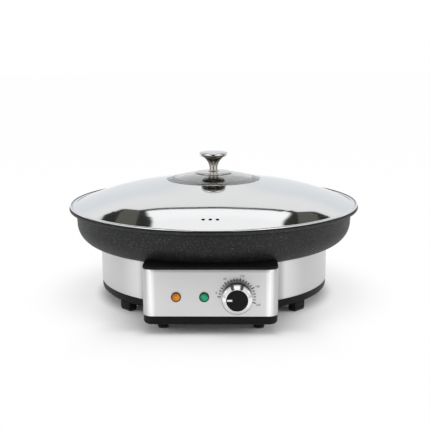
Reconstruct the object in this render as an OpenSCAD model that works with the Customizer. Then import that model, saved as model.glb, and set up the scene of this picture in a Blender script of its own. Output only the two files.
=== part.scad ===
// Electric party pan: a granite-coated pan fixed on a round steel base with a
// control box at the front, and a polished lid with a glass window that lifts
// off by its knob.
// Millimetres. The origin is on the pan's axis at the surface it stands on,
// +Z is up and the control box faces -Y.

/* [Pan] */
// Diameter of the pan over its flange
pan_d = 400; // [384:2:430]
// Height of the pan from its underside to the top of the flange
pan_h = 49.6; // [46:0.2:60]
// How far the flange stands out from the wall
flange_w = 9; // [7:0.2:13]
// Thickness of the flange
flange_t = 4; // [3:0.25:6]
// Thickness of the cast wall
pan_wall = 4; // [3:0.25:5.5]
// Thickness of the cast floor
pan_floor = 5; // [4:0.25:8]
// Outside radius between the wall and the floor
pan_corner_r = 28; // [24:1:38]
// How far the wall leans in on its way down to the corner
pan_draft = 1.2; // [0.4:0.2:3]

/* [Lid] */
// How far the edge of the lid stays inside the edge of the flange
lid_set_in = 0.75; // [0:0.25:5]
// Thickness of the pressed sheet
lid_sheet = 1; // [0.8:0.1:1.4]
// Diameter of the rolled bead that rests on the flange
edge_bead_d = 3; // [2.6:0.1:4]
// Width of the fold under the bead
hem_w = 4; // [3:0.25:5]
// Height of the flat brim above the flange
brim_rise = 1.9; // [1.7:0.1:2.4]
// Width of the brim with its bead
brim_w = 6.25; // [5.75:0.25:12]
// Radius of the hollow between the brim and the dome
brim_fillet = 2.5; // [1.5:0.5:5]
// Slope of the dome at the brim, in degrees
dome_foot_slope = 23; // [20:1:28]
// Slope of the flank below the crown, in degrees
dome_flank_slope = 9.5; // [6:0.5:11]
// Radius of the shoulder between those slopes
dome_shoulder_r = 380; // [330:5:420]
// Diameter of the glass window in the crown
crown_d = 130; // [112:2:146]
// Thickness of the glass
glass_t = 4; // [3:0.25:5]
// Thickness of the glass where its edge is ground flat
glass_edge_t = 3; // [2:0.25:3]
// Width of the ledge that carries the glass
ledge_w = 7; // [5:0.5:10]
// Thickness of the seal under the glass
seal_t = 0.8; // [0.5:0.1:1.5]
// Rise of the glass from its edge to the knob seat
crown_rise = 8.2; // [6:0.2:10]
// Diameter of the flat seat under the knob
knob_seat_d = 53; // [51:0.5:64]
// Diameter of each steam vent
vent_d = 3.8; // [2:0.2:5]
// Distance between neighbouring steam vents
vent_pitch = 8.6; // [7:0.1:14]
// Distance of the vents from the axis
vent_reach = 171.7; // [155:0.1:178]
// Depth of the locating lip under the brim
lip_h = 6; // [4:0.5:10]
// Thickness of the locating lip
lip_t = 0.8; // [0.6:0.1:1.4]

/* [Lid knob] */
// Diameter of the knob's head
head_d = 39; // [36:0.5:44]
// Height of the knob above its plate
knob_h = 27.4; // [25:0.2:34]
// Thickness of the head at its edge
head_t = 5.4; // [4.5:0.2:8]
// Diameter of the neck
neck_d = 11.6; // [9:0.2:14]
// Radius of the flare from the neck to the head
flare_r = 18.3; // [17:0.1:19]
// Diameter of the plate under the knob
plate_d = 49.6; // [40:0.2:50.5]
// Thickness of the plate at its middle
plate_t = 2.4; // [2:0.1:4]
// Diameter of the screw that holds the knob
knob_screw_d = 5; // [4:0.5:6]

/* [Base] */
// Height of the feet
foot_h = 11.5; // [9:0.5:20]
// Height of the black tray under the steel band
tray_h = 11.1; // [9:0.1:14]
// Thickness of the tray's floor
tray_floor = 2.5; // [2:0.25:3.5]
// Thickness of the tray's walls
tray_wall = 2.5; // [2:0.25:3]
// Rounding of the tray's lower edge
tray_edge_r = 4; // [2:0.5:6]
// How far the steel band stays inside the edge of the pan's flange
band_set_in = 42.2; // [38:0.2:46]
// Height of the steel band
band_h = 49.7; // [46:0.1:60]
// Thickness of the band's sheet
band_t = 1; // [0.8:0.1:1.5]
// Thickness of the insulating ring between band and pan
deck_t = 2.7; // [2:0.1:4]
// How far the insulating ring reaches in under the pan's flat floor
deck_seat_w = 19.4; // [14:0.2:24]
// Width of each block foot under the ring
ring_foot_w = 21; // [16:0.5:26]
// Depth of each block foot under the ring
ring_foot_depth = 12; // [10:0.5:18]
// Angle of the block feet from the front and the back, in degrees
ring_foot_angle = 47.5; // [40:0.5:52]
// Diameter of the two round feet under the control box
front_foot_d = 14.4; // [10:0.2:18]
// Distance of the round feet from the middle
front_foot_x = 58.8; // [50:0.2:60]
// Thickness of the rubber pads on all feet
foot_pad_t = 2; // [1.5:0.25:4]

/* [Control box] */
// Width of the control box
box_w = 162.4; // [154:0.2:176]
// How far the steel front stands in front of the edge of the pan's flange
box_proud = 0.9; // [-3:0.1:11]
// Radius of the box's upright corners
box_corner_r = 12; // [8:0.5:16]
// Thickness of the steel panel
panel_t = 1; // [0.8:0.1:1.5]
// How far the panel stands above the band
panel_rise = 7.8; // [6:0.1:10]
// Thickness of the black cap on the box
cap_h = 3.2; // [2.5:0.1:4.5]
// Room between the cap and the underside of the pan
pan_room = 1.2; // [1:0.1:2]
// Diameter of the pilot lamp lenses
lamp_d = 12; // [10.4:0.1:14]
// How far the lenses stand out of the panel
lamp_proud = 2.6; // [1.8:0.1:4]
// Sideways place of the amber power lamp
power_lamp_x = -40.6; // [-46:0.1:-34]
// Sideways place of the green heating lamp
heating_lamp_x = -7.1; // [-12:0.1:-4]
// Height of the lamps above the panel's lower edge
lamp_rise = 24.1; // [18:0.1:30]

/* [Thermostat] */
// Diameter of the control knob over its bright ring
dial_d = 36.8; // [34:0.2:42]
// Diameter of the knob's dark skirt
dial_skirt_d = 31; // [28:0.2:33]
// Diameter of the knob's dark face
dial_face_d = 25.6; // [23:0.2:27]
// Length of the knob from back to face
dial_depth = 15; // [13.5:0.1:20]
// Sideways place of the knob
dial_x = 32; // [29:0.1:36]
// Height of the knob above the panel's lower edge
dial_rise = 24.4; // [22:0.1:31]
// Diameter of the thermostat's shaft
shaft_d = 6; // [5:0.1:7]
// Width and height of the thermostat's case
thermostat_w = 36; // [32:0.5:40]
// Depth of the thermostat's case
thermostat_depth = 20; // [18:0.5:23]
// Diameter of the sensor bulb
bulb_d = 6; // [5:0.1:7]
// Length of the sensor bulb
bulb_len = 80; // [60:1:100]

/* [Heating] */
// Diameter of the tubular heating element
element_d = 8.4; // [7:0.1:9.5]
// How far the element's middle line lies inside the edge of its clamp plate
element_set_in = 18.4; // [14:0.2:24]
// Thickness of the plate that presses the element to the pan
clamp_plate_t = 1.5; // [1:0.1:2.5]
// Thickness of the heat shield
shield_t = 0.8; // [0.6:0.1:1.5]
// Height of the heat shield above the tray's floor
shield_rise = 27; // [24.5:0.5:32]
// Diameter of the studs that tie pan and tray together
stud_d = 6; // [5:0.5:7]

/* [Cord inlet] */
// Diameter of the cord's way through the gland
gland_bore_d = 8; // [7:0.1:9]
// Diameter of the gland's collar
gland_collar_d = 21; // [18:0.5:24]
// Height of the gland above the band's lower edge
gland_rise = 16; // [14:0.5:18]

/* [Hidden] */
$fn = 96;

// Small clearances, shared by every fit
seat_gap = 0.3;
slip_gap = 0.4;
thread_gap = 0.05;
hole_gap = 0.3;
cut = 1;
arc_steps = 10;

// Heights of the stack, from the floor up
tray_z = foot_h;
tray_floor_z = tray_z + tray_floor;
band_z = tray_z + tray_h;
band_top_z = band_z + band_h;
pan_z = band_top_z + deck_t;
pan_floor_z = pan_z + pan_floor;
rim_z = pan_z + pan_h;
brim_z = rim_z + brim_rise;
panel_top_z = band_top_z + panel_rise;
cap_top_z = panel_top_z + cap_h;

// Radii of the pan
rim_r = pan_d / 2;
wall_top_r = rim_r - flange_w;
wall_low_r = wall_top_r - pan_draft;
pan_flat_r = wall_low_r - pan_corner_r;
flange_z = rim_z - flange_t;
inner_corner_r = pan_corner_r - pan_wall;
flange_fillet = 2;

// Radii and heights of the lid
brim_out_r = rim_r - lid_set_in;
edge_bead_r = edge_bead_d / 2;
edge_bead_end = 180 - asin((brim_rise - edge_bead_r) / edge_bead_r);
brim_in_r = brim_out_r - brim_w;
foot_slope = dome_foot_slope;
dome_r = brim_in_r - brim_fillet * sin(foot_slope);
dome_z = brim_z + brim_fillet * (1 - cos(foot_slope));
shoulder_c = [dome_r - dome_shoulder_r * sin(foot_slope), dome_z - dome_shoulder_r * cos(foot_slope)];
flank_r = shoulder_c[0] + dome_shoulder_r * sin(dome_flank_slope);
flank_z = shoulder_c[1] + dome_shoulder_r * cos(dome_flank_slope);
crown_r = crown_d / 2;
crown_z = flank_z + (flank_r - crown_r) * tan(dome_flank_slope);
knob_seat_r = knob_seat_d / 2;
knob_seat_z = crown_z + crown_rise;
crown_c = (pow(knob_seat_r, 2) + pow(knob_seat_z, 2) - pow(crown_r, 2) - pow(crown_z, 2))
    / (2 * crown_rise);
crown_sphere_r = norm([crown_r, crown_z - crown_c]);
seal_upstand = 0.3;
glass_r = crown_r - seal_upstand - 2 * thread_gap;
land_z = crown_z - glass_edge_t;
ledge_z = land_z - seal_t;
ledge_in_r = crown_r - ledge_w;
under_glass_z = knob_seat_z - glass_t;
lip_room = 1.5;
lip_r = wall_top_r - pan_wall - lip_room;
knob_z = knob_seat_z + plate_t;
screw_hole_r = knob_screw_d / 2 + hole_gap;
knob_screw_in = 14;
washer_t = 1.2;

// Radii of the base
band_r = rim_r - band_set_in;
band_in_r = band_r - band_t;
tray_set_in = 0.4;
tray_r = band_r - tray_set_in;
nest_r = band_in_r - slip_gap;
nest_t = 2;
nest_h = 5;
deck_in_r = pan_flat_r - deck_seat_w;
deck_skirt_t = 2.5;
deck_skirt_h = 8;
ring_foot_set_in = 2.3;
ring_foot_r = band_r - ring_foot_set_in;

// Control box
box_overlap = 12;
box_back = sqrt(pow(band_r, 2) - pow(box_w / 2, 2)) - box_overlap;
box_reach = rim_r + box_proud;
front_y = -box_reach;
panel_in_y = front_y + panel_t;
roof_gap = 0.5;
roof_start_r = band_r + roof_gap;
roof_corner_r = pan_corner_r + pan_room;
cap_post_r = 4.5;
cap_post_x = box_w / 2 - box_corner_r - slip_gap;
cap_post_y = front_y + box_corner_r + panel_t;
cap_screw_r = 1.75;
cap_screw_in = 16;
lamp_z = band_z + lamp_rise;
lamp_body_r = 4.8;
lamp_nut_r = 7.5;
lamp_nut_t = 3;
lamp_body_len = 22;
lamp_tab_x = 2.5;
lamp_tab_len = 7;
tab_t = 0.8;
front_foot_set_back = 29;
front_foot_y = front_y + front_foot_set_back;

// Thermostat and dial
dial_z = band_z + dial_rise;
dial_gap = 1;
dial_back_y = front_y - dial_gap;
bush_wall = 2;
bush_r = shaft_d / 2 + bush_wall;
bush_len = 5;
bush_nut_rim = 3;
bush_nut_r = bush_r + bush_nut_rim;
bush_nut_t = 2.4;
shaft_in = 9;
dial_face_t = 3;
shaft_out = dial_depth - dial_face_t;
dial_ring_h = 5;
ring_seat = dial_depth - dial_ring_h;
thermostat_back_y = panel_in_y + thermostat_depth;

// Studs that tie pan, heat shield and tray together
stud_r = stud_d / 2;
stud_boss_wall = 5;
stud_boss_r = stud_r + stud_boss_wall;
stud_boss_h = 7;
stud_boss_room = 2;
stud_reach = deck_in_r - stud_boss_r - stud_boss_room;
stud_boss_z = pan_z - stud_boss_h;
stud_in = 6;
stud_end = 1;
stud_nut_t = 5;
stud_washer_t = 1.2;
stud_angles = [40, 140, 220, 320];
blind_end = 1;

// Heating parts
clamp_out_r = stud_reach - stud_boss_r - stud_boss_room;
element_r = element_d / 2;
element_ring_r = clamp_out_r - element_set_in;
element_z = pan_z - seat_gap - element_r;
element_gap_angle = 12;
element_leg_angle = 15;
element_leg_r = element_r - 0.8;
element_leg_h = 12;
element_end_x = element_ring_r * sin(element_leg_angle);
element_end_y = -element_ring_r * cos(element_leg_angle);
terminal_z = element_z - element_leg_h;
bead_h = 4;
pin_len = 9;
pin_end_z = terminal_z - bead_h - pin_len;
clamp_top_z = element_z - element_r - seat_gap;
clamp_z = clamp_top_z - clamp_plate_t;
clamp_boss_r = 6;
clamp_boss_room = 16;
clamp_boss_reach = element_ring_r - element_r - clamp_boss_r - clamp_boss_room;
clamp_rim = 6;
clamp_in_r = clamp_boss_reach - clamp_boss_r - clamp_rim;
clamp_screw_r = 2;
clamp_screw_in = 7;
clamp_angles = [45, 135, 225, 315];
shield_z = tray_floor_z + shield_rise;
shield_r = nest_r - deck_skirt_t - slip_gap;
shield_notch_w = 90;
shield_notch_room = 24;
cutout_r = 8;
cutout_h = 7;
cutout_angle = 35;
cutout_room = 14.4;
cutout_reach = clamp_out_r - cutout_r - cutout_room;
cutout_tab_x = 4;
cutout_tab_len = 5;
bulb_lead = 10;
bulb_front_y = -clamp_in_r - bulb_lead;
bulb_z = pan_z - seat_gap - bulb_d / 2;
clip_t = 1;
clip_w = 8;
clip_ear = 8;
clip_end_room = 14;

// Terminal block and wiring
block_w = 42;
block_depth = 18;
block_h = 16;
block_x = -42;
block_y = element_end_y - 4.5;
block_screw_pitch = 12;
wire_r = 1.3;
earth_tag_t = 0.8;
capillary_r = 1;

// Cord inlet
gland_z = band_z + gland_rise;
gland_r = gland_bore_d / 2;
gland_wall = 3;
gland_thread_r = gland_r + gland_wall;
gland_collar_t = 4;
gland_in_len = 14;
gland_nut_t = 5;
gland_nut_r = gland_collar_d / 2 + 0.5;
gland_seat = 0.1;
gland_nut_y = sqrt(pow(band_in_r, 2) - pow(gland_nut_r, 2)) - gland_seat;
gland_in_y = gland_nut_y - gland_in_len;
gland_room = 2;
earth_y = gland_in_y - 17;

// Feet
foot_screw_r = 1.75;
small_head_r = 3.4;
small_head_h = 2.2;
ring_foot_angles = [for (a = [ring_foot_angle, 180 - ring_foot_angle]) for (side = [-1, 1]) side * a];
ring_foot_mid = ring_foot_r - ring_foot_depth / 2;

// Points along an arc about [x, z], counter-clockwise from the +X direction
function arc(x, z, r, from, to) =
    [for (i = [0:arc_steps]) let (a = from + (to - from) * i / arc_steps) [x + r * cos(a), z + r * sin(a)]];

// Height just under the dome's sheet, at a radius between its foot and its flank
function dome_under(r) =
    shoulder_c[1] + sqrt(pow(dome_shoulder_r, 2) - pow(r - shoulder_c[0], 2)) - lid_sheet - thread_gap;

// A smooth curve through hand-chosen points, straight at both ends
function curve_at(p, i, t) =
    let (a = p[i - 1], b = p[i], c = p[i + 1], d = p[i + 2])
    (2 * b + (c - a) * t + (2 * a - 5 * b + 4 * c - d) * t * t + (3 * b - a - 3 * c + d) * t * t * t) / 2;
function smooth(p, steps) = concat(
    [p[0]],
    [for (i = [1:len(p) - 3]) for (k = [0:steps - 1]) curve_at(p, i, k / steps)],
    [p[len(p) - 2], p[len(p) - 1]]
);
function unit(v) = v / norm(v);

// A point at a reach and an angle from the front, moved aside along the ring
function front_point(angle, reach, aside, z) =
    [reach * sin(angle) + aside * cos(angle), aside * sin(angle) - reach * cos(angle), z];

// A round tube of eight sides along a path; ref is never parallel to the path
module tube(path, r, ref) {
    sides = 8;
    last = len(path) - 1;
    rings = [for (i = [0:last])
        let (
            t = unit(path[min(i + 1, last)] - path[max(i - 1, 0)]),
            u = unit(cross(ref, t)),
            v = cross(t, u)
        )
        for (k = [0:sides - 1]) path[i] + r * (cos(360 * k / sides) * u + sin(360 * k / sides) * v)];
    walls = [for (i = [0:last - 1]) for (k = [0:sides - 1])
        let (n = (k + 1) % sides, a = i * sides, b = a + sides)
        each [[a + k, b + k, b + n], [a + k, b + n, a + n]]];
    start_cap = [for (k = [1:sides - 2]) [0, k, k + 1]];
    end_cap = [for (k = [1:sides - 2]) [last * sides, last * sides + k + 1, last * sides + k]];
    polyhedron(points = rings, faces = concat(walls, start_cap, end_cap));
}

// Places children at a radius and an angle from the front, turned to face out
module around_front(angle, reach) {
    rotate([0, 0, angle])
        translate([0, -reach, 0])
            children();
}

// Places children on an axis that points out of the front panel
module on_front(x, y, z) {
    translate([x, y, z])
        rotate([90, 0, 0])
            children();
}

// Plan of the control box, shrunk by an inset, open to the back
module box_plan(inset) {
    r = box_corner_r - inset;
    w = box_w - 2 * inset;
    y = front_y + inset;
    depth = box_reach - inset - box_back;
    translate([-w / 2, y + r])
        square([w, depth - r]);
    translate([-w / 2 + r, y])
        square([w - 2 * r, depth]);
    for (side = [-1, 1])
        translate([side * (w / 2 - r), y + r])
            circle(r);
}

module lid_dome() {
    upper = concat(
        arc(brim_out_r - edge_bead_r, rim_z + edge_bead_r, edge_bead_r, -90, edge_bead_end),
        arc(brim_in_r, brim_z + brim_fillet, brim_fillet, -90, -90 - foot_slope),
        arc(shoulder_c[0], shoulder_c[1], dome_shoulder_r, 90 - foot_slope, 90 - dome_flank_slope),
        [[crown_r, crown_z]]
    );
    wall_r = crown_r + lid_sheet;
    ledge = [
        [crown_r, ledge_z], [ledge_in_r, ledge_z], [ledge_in_r, ledge_z - lid_sheet],
        [wall_r, ledge_z - lid_sheet], [wall_r, crown_z - lid_sheet * (1 + tan(dome_flank_slope))]
    ];
    sheet = [0, lid_sheet];
    lower = [for (i = [len(upper) - 2:-1:arc_steps + 1]) upper[i] - sheet];
    hem_in_r = brim_out_r - hem_w;
    hem_inside = [[hem_in_r, brim_z - lid_sheet], [hem_in_r, rim_z]];
    color("gainsboro")
        difference() {
            rotate_extrude()
                polygon(concat(upper, ledge, lower, hem_inside));
            for (i = [-1:1])
                translate([i * vent_pitch, -vent_reach, rim_z])
                    cylinder(d = vent_d, h = knob_seat_z - rim_z);
        }
}

// Domed window with a flat seat for the knob and an edge ground flat below
module lid_glass() {
    edge_angle = acos(glass_r / crown_sphere_r);
    land_angle = acos(ledge_in_r / crown_sphere_r);
    seat_angle = acos(knob_seat_r / crown_sphere_r);
    profile = concat(
        [[ledge_in_r, land_z], [glass_r, land_z]],
        arc(0, crown_c, crown_sphere_r, edge_angle, seat_angle),
        [[screw_hole_r, knob_seat_z], [screw_hole_r, under_glass_z]],
        arc(0, crown_c - glass_t, crown_sphere_r, seat_angle, land_angle)
    );
    color([0.75, 0.85, 0.85, 0.5])
        rotate_extrude()
            polygon(profile);
}

// Silicone seal between the glass and the ledge, with an upstand round the edge
module lid_seal() {
    out_r = crown_r - thread_gap;
    in_r = out_r - seal_upstand;
    top_z = crown_z - 0.3;
    color([0.08, 0.08, 0.08])
        rotate_extrude()
            polygon([
                [ledge_in_r, ledge_z], [out_r, ledge_z], [out_r, top_z],
                [in_r, top_z], [in_r, land_z], [ledge_in_r, land_z]
            ]);
}

module lid_lip() {
    low_z = brim_z - lid_sheet - lip_h;
    in_r = lip_r - lip_t;
    color("silver")
        rotate_extrude()
            polygon([[in_r, low_z], [lip_r, low_z], [lip_r, dome_under(lip_r)], [in_r, dome_under(in_r)]]);
}

module lid_knob() {
    neck_r = neck_d / 2;
    head_r = head_d / 2;
    head_z = knob_h - head_t;
    foot_r = neck_r + 1.6;
    flare_z = 4;
    flare_top = head_z - 0.9;
    flare_end = 180 - asin((flare_top - flare_z) / flare_r);
    edge_r = 1.6;
    profile = concat(
        [[0, 0], [foot_r, 0], [foot_r, 0.6]],
        arc(foot_r, 0.6 + foot_r - neck_r, foot_r - neck_r, -90, -180),
        arc(neck_r + flare_r, flare_z, flare_r, 180, flare_end),
        arc(head_r - edge_r, head_z + edge_r, edge_r, -60, 0),
        arc(head_r - edge_r, knob_h - 1 - edge_r, edge_r, 0, 75),
        [[head_r * 0.6, knob_h - 0.25], [0, knob_h]]
    );
    color("lightgray")
        translate([0, 0, knob_z])
            difference() {
                rotate_extrude()
                    polygon(profile);
                translate([0, 0, -cut])
                    cylinder(r = knob_screw_d / 2 + thread_gap, h = knob_screw_in + 2 * blind_end + cut);
            }
}

module lid_knob_plate() {
    plate_r = plate_d / 2;
    edge_r = 0.8;
    profile = concat(
        [[screw_hole_r, 0], [plate_r - edge_r, 0]],
        arc(plate_r - edge_r, edge_r, edge_r, -90, 90),
        [[plate_r * 0.45, plate_t], [screw_hole_r, plate_t]]
    );
    color("lightgray")
        translate([0, 0, knob_seat_z])
            rotate_extrude()
                polygon(profile);
}

module lid_knob_washer() {
    color("silver")
        translate([0, 0, under_glass_z - washer_t])
            difference() {
                cylinder(r = knob_screw_d * 1.6, h = washer_t);
                translate([0, 0, -cut])
                    cylinder(r = screw_hole_r, h = washer_t + 2 * cut);
            }
}

module lid_knob_screw() {
    head_z = under_glass_z - washer_t;
    head_h = knob_screw_d * 0.6;
    slot_w = 1.2;
    color("silver")
        difference() {
            union() {
                translate([0, 0, head_z - head_h])
                    cylinder(r = knob_screw_d * 0.95, h = head_h);
                translate([0, 0, head_z - cut])
                    cylinder(d = knob_screw_d, h = knob_z + knob_screw_in - head_z + cut);
            }
            translate([-knob_screw_d, -slot_w / 2, head_z - head_h - cut])
                cube([2 * knob_screw_d, slot_w, slot_w + cut]);
        }
}

module pan() {
    edge_r = flange_t * 0.4;
    outside = concat(
        [[0, pan_z]],
        arc(pan_flat_r, pan_z + pan_corner_r, pan_corner_r, -90, 0),
        arc(wall_top_r + flange_fillet, flange_z - flange_fillet, flange_fillet, 180, 90),
        arc(rim_r - edge_r, flange_z + edge_r, edge_r, -90, 0),
        arc(rim_r - edge_r, rim_z - edge_r, edge_r, 0, 90)
    );
    mouth_r = wall_top_r - pan_wall;
    inside = concat(
        arc(mouth_r + 1.5, rim_z - 1.5, 1.5, 90, 180),
        arc(pan_flat_r, pan_floor_z + inner_corner_r, inner_corner_r, 0, -90),
        [[0, pan_floor_z]]
    );
    color("dimgray")
        difference() {
            union() {
                rotate_extrude()
                    polygon(concat(outside, inside));
                for (a = clamp_angles)
                    around_front(a, clamp_boss_reach)
                        translate([0, 0, clamp_top_z])
                            cylinder(r = clamp_boss_r, h = pan_z + cut - clamp_top_z);
                for (a = stud_angles)
                    rotate([0, 0, a])
                        translate([stud_reach, 0, stud_boss_z])
                            cylinder(r = stud_boss_r, h = pan_z + cut - stud_boss_z);
            }
            for (a = clamp_angles)
                around_front(a, clamp_boss_reach)
                    translate([0, 0, clamp_top_z - cut])
                        cylinder(r = clamp_screw_r + thread_gap, h = clamp_screw_in + blind_end + cut);
            for (a = stud_angles)
                rotate([0, 0, a])
                    translate([stud_reach, 0, stud_boss_z - cut])
                        cylinder(r = stud_r + thread_gap, h = stud_in + blind_end + cut);
        }
}

module deck_ring() {
    bevel = 0.8;
    profile = [
        [deck_in_r, pan_z], [deck_in_r, band_top_z],
        [nest_r - deck_skirt_t, band_top_z], [nest_r - deck_skirt_t, band_top_z - deck_skirt_h],
        [nest_r, band_top_z - deck_skirt_h], [nest_r, band_top_z],
        [band_r, band_top_z], [band_r, pan_z - bevel], [band_r - bevel, pan_z]
    ];
    color([0.12, 0.12, 0.13])
        rotate_extrude()
            polygon(profile);
}

module base_band() {
    window_w = 64;
    window_h = 26;
    window_rise = 12;
    color("silver")
        difference() {
            translate([0, 0, band_z])
                cylinder(r = band_r, h = band_h);
            translate([0, 0, band_z - cut])
                cylinder(r = band_in_r, h = band_h + 2 * cut);
            translate([-window_w / 2, -band_r - cut, band_z + window_rise])
                cube([window_w, band_r / 2, window_h]);
            translate([0, band_r + cut, gland_z])
                rotate([90, 0, 0])
                    cylinder(r = gland_thread_r + hole_gap, h = gland_in_len);
        }
}

module base_tray() {
    inset = tray_set_in;
    low_w = box_w - 2 * inset;
    long = 2 * box_reach;
    disc = concat(
        [[0, tray_z]],
        arc(tray_r - tray_edge_r, tray_z + tray_edge_r, tray_edge_r, -90, 0),
        [[tray_r, band_z], [0, band_z]]
    );
    color([0.13, 0.13, 0.14])
        difference() {
            union() {
                rotate_extrude()
                    polygon(disc);
                intersection() {
                    translate([0, 0, tray_z])
                        linear_extrude(tray_h)
                            box_plan(inset);
                    rotate([90, 0, 0])
                        translate([0, 0, -long / 2])
                            linear_extrude(long)
                                rounded_foot_profile(low_w);
                    rotate([90, 0, 90])
                        translate([front_y + inset + long / 2, 0, -long / 2])
                            linear_extrude(long)
                                rounded_foot_profile(long);
                }
                translate([0, 0, tray_floor_z])
                    cylinder(r = nest_r, h = band_z + nest_h - tray_floor_z);
                difference() {
                    translate([0, 0, tray_floor_z])
                        linear_extrude(band_z + nest_h - tray_floor_z)
                            box_plan(panel_t + slip_gap);
                    translate([0, 0, tray_floor_z - cut])
                        cylinder(r = band_r + slip_gap, h = tray_h + nest_h + 2 * cut);
                }
            }
            translate([0, 0, tray_floor_z])
                cylinder(r = min(nest_r - nest_t, tray_r - tray_wall), h = tray_h + nest_h + cut);
            difference() {
                translate([0, 0, tray_floor_z])
                    linear_extrude(tray_h + nest_h + cut)
                        box_plan(max(panel_t + slip_gap + nest_t, inset + tray_wall));
                translate([0, 0, tray_floor_z - cut])
                    cylinder(r = tray_r, h = tray_h + cut);
            }
            for (a = stud_angles)
                rotate([0, 0, a])
                    translate([stud_reach, 0, tray_z - cut])
                        cylinder(r = stud_r + hole_gap, h = tray_floor + 2 * cut);
            for (side = [-1, 1])
                translate([side * cap_post_x, cap_post_y, tray_z - cut])
                    cylinder(r = cap_screw_r + hole_gap, h = tray_floor + 2 * cut);
            foot_screw_places()
                translate([0, 0, tray_z - cut])
                    cylinder(r = foot_screw_r + thread_gap, h = tray_floor + 2 * cut);
        }
}

// A slice of the tray with its two lower corners rounded
module rounded_foot_profile(w) {
    r = tray_edge_r;
    translate([-w / 2 + r, tray_z])
        square([w - 2 * r, tray_h]);
    translate([-w / 2, tray_z + r])
        square([w, tray_h - r]);
    for (side = [-1, 1])
        translate([side * (w / 2 - r), tray_z + r])
            circle(r);
}

module control_panel() {
    color("silver")
        difference() {
            translate([0, 0, band_z])
                linear_extrude(panel_top_z - band_z)
                    difference() {
                        box_plan(0);
                        box_plan(panel_t);
                        translate([-box_w / 2 + panel_t, -box_back - cut])
                            square([box_w - 2 * panel_t, 2 * cut]);
                    }
            translate([0, 0, band_z - cut])
                cylinder(r = band_r + seat_gap, h = panel_top_z - band_z + 2 * cut);
            roof_space(0);
            for (x = [power_lamp_x, heating_lamp_x])
                on_front(x, panel_in_y + cut, lamp_z)
                    cylinder(r = lamp_body_r + hole_gap, h = panel_t + 2 * cut);
            on_front(dial_x, panel_in_y + cut, dial_z)
                cylinder(r = bush_r + hole_gap, h = panel_t + 2 * cut);
        }
}

// Everything above the roof of the control box, from a depth below it: the roof
// is level at the front and then follows the underside of the pan
module roof_space(depth) {
    corner_z = pan_z + pan_corner_r - depth;
    rotate_extrude()
        polygon(concat(
            [[0, corner_z - roof_corner_r]],
            arc(pan_flat_r, corner_z, roof_corner_r, -90, 0),
            [[pan_flat_r + roof_corner_r, rim_z], [0, rim_z]]
        ));
    translate([-box_w, front_y - cut, cap_top_z - depth])
        cube([2 * box_w, box_reach, rim_z - cap_top_z + depth]);
}

module control_cap() {
    color([0.11, 0.11, 0.12])
        difference() {
            union() {
                intersection() {
                    roof_space(cap_h);
                    union() {
                        translate([0, 0, panel_top_z])
                            linear_extrude(cap_h + cut)
                                box_plan(0);
                        translate([0, 0, band_z])
                            linear_extrude(panel_top_z - band_z + cut / 2)
                                box_plan(panel_t + slip_gap);
                    }
                }
                for (side = [-1, 1])
                    translate([side * cap_post_x, cap_post_y, tray_floor_z])
                        cylinder(r = cap_post_r, h = cap_top_z - cap_h / 2 - tray_floor_z);
            }
            roof_space(0);
            translate([0, 0, band_z])
                cylinder(r = roof_start_r, h = rim_z - band_z);
            for (side = [-1, 1])
                translate([side * cap_post_x, cap_post_y, tray_floor_z - cut])
                    cylinder(r = cap_screw_r + thread_gap, h = cap_screw_in + cut);
        }
}

// A pan-head screw with its head's seat at z = 0, head below, shank upwards
module pan_screw(r, head_r, head_h, len) {
    slot_w = r * 0.6;
    difference() {
        union() {
            translate([0, 0, -head_h])
                cylinder(r = head_r, h = head_h);
            translate([0, 0, -head_h / 2])
                cylinder(r = r, h = len + head_h / 2);
        }
        translate([-head_r - cut, -slot_w / 2, -head_h - cut])
            cube([2 * (head_r + cut), slot_w, head_h * 0.4 + cut]);
    }
}

module cap_screws() {
    color("silver")
        for (side = [-1, 1])
            translate([side * cap_post_x, cap_post_y, tray_z])
                pan_screw(cap_screw_r, small_head_r, small_head_h, cap_screw_in);
}

module heating_element() {
    color([0.32, 0.3, 0.28]) {
        rotate([0, 0, -90 + element_gap_angle])
            rotate_extrude(angle = 360 - 2 * element_gap_angle)
                translate([element_ring_r, element_z])
                    circle(element_r);
        for (side = [-1, 1])
            translate([side * element_end_x, element_end_y, terminal_z])
                cylinder(r = element_leg_r, h = element_leg_h);
    }
}

module element_terminals() {
    bead_r = element_leg_r - 0.6;
    pin_r = 1.6;
    color("ivory")
        for (side = [-1, 1])
            translate([side * element_end_x, element_end_y, terminal_z - bead_h]) {
                cylinder(r = bead_r, h = bead_h);
                translate([0, 0, -pin_len])
                    cylinder(r = pin_r, h = pin_len + cut);
            }
}

module clamp_plate() {
    gap_w = 2 * (element_end_x + element_r + 4);
    color("lightsteelblue")
        difference() {
            translate([0, 0, clamp_z])
                cylinder(r = clamp_out_r, h = clamp_plate_t);
            translate([0, 0, clamp_z - cut])
                cylinder(r = clamp_in_r, h = clamp_plate_t + 2 * cut);
            translate([-gap_w / 2, -clamp_out_r - cut, clamp_z - cut])
                cube([gap_w, clamp_out_r - clamp_in_r, clamp_plate_t + 2 * cut]);
            for (a = clamp_angles)
                around_front(a, clamp_boss_reach)
                    translate([0, 0, clamp_z - cut])
                        cylinder(r = clamp_screw_r + hole_gap, h = clamp_plate_t + 2 * cut);
        }
}

module clamp_screws() {
    head_r = 3.8;
    head_h = 2.6;
    color("silver")
        for (a = clamp_angles)
            around_front(a, clamp_boss_reach)
                translate([0, 0, clamp_z])
                    pan_screw(clamp_screw_r, head_r, head_h, clamp_plate_t + clamp_screw_in);
}

module thermal_cutout() {
    tab_w = 4;
    color("black")
        around_front(cutout_angle, cutout_reach)
            translate([0, 0, clamp_z - cutout_h]) {
                cylinder(r = cutout_r, h = cutout_h);
                for (side = [-1, 1])
                    translate([side * cutout_tab_x - tab_t / 2, -tab_w / 2, -cutout_tab_len])
                        cube([tab_t, tab_w, cutout_tab_len + cut]);
            }
}

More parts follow.
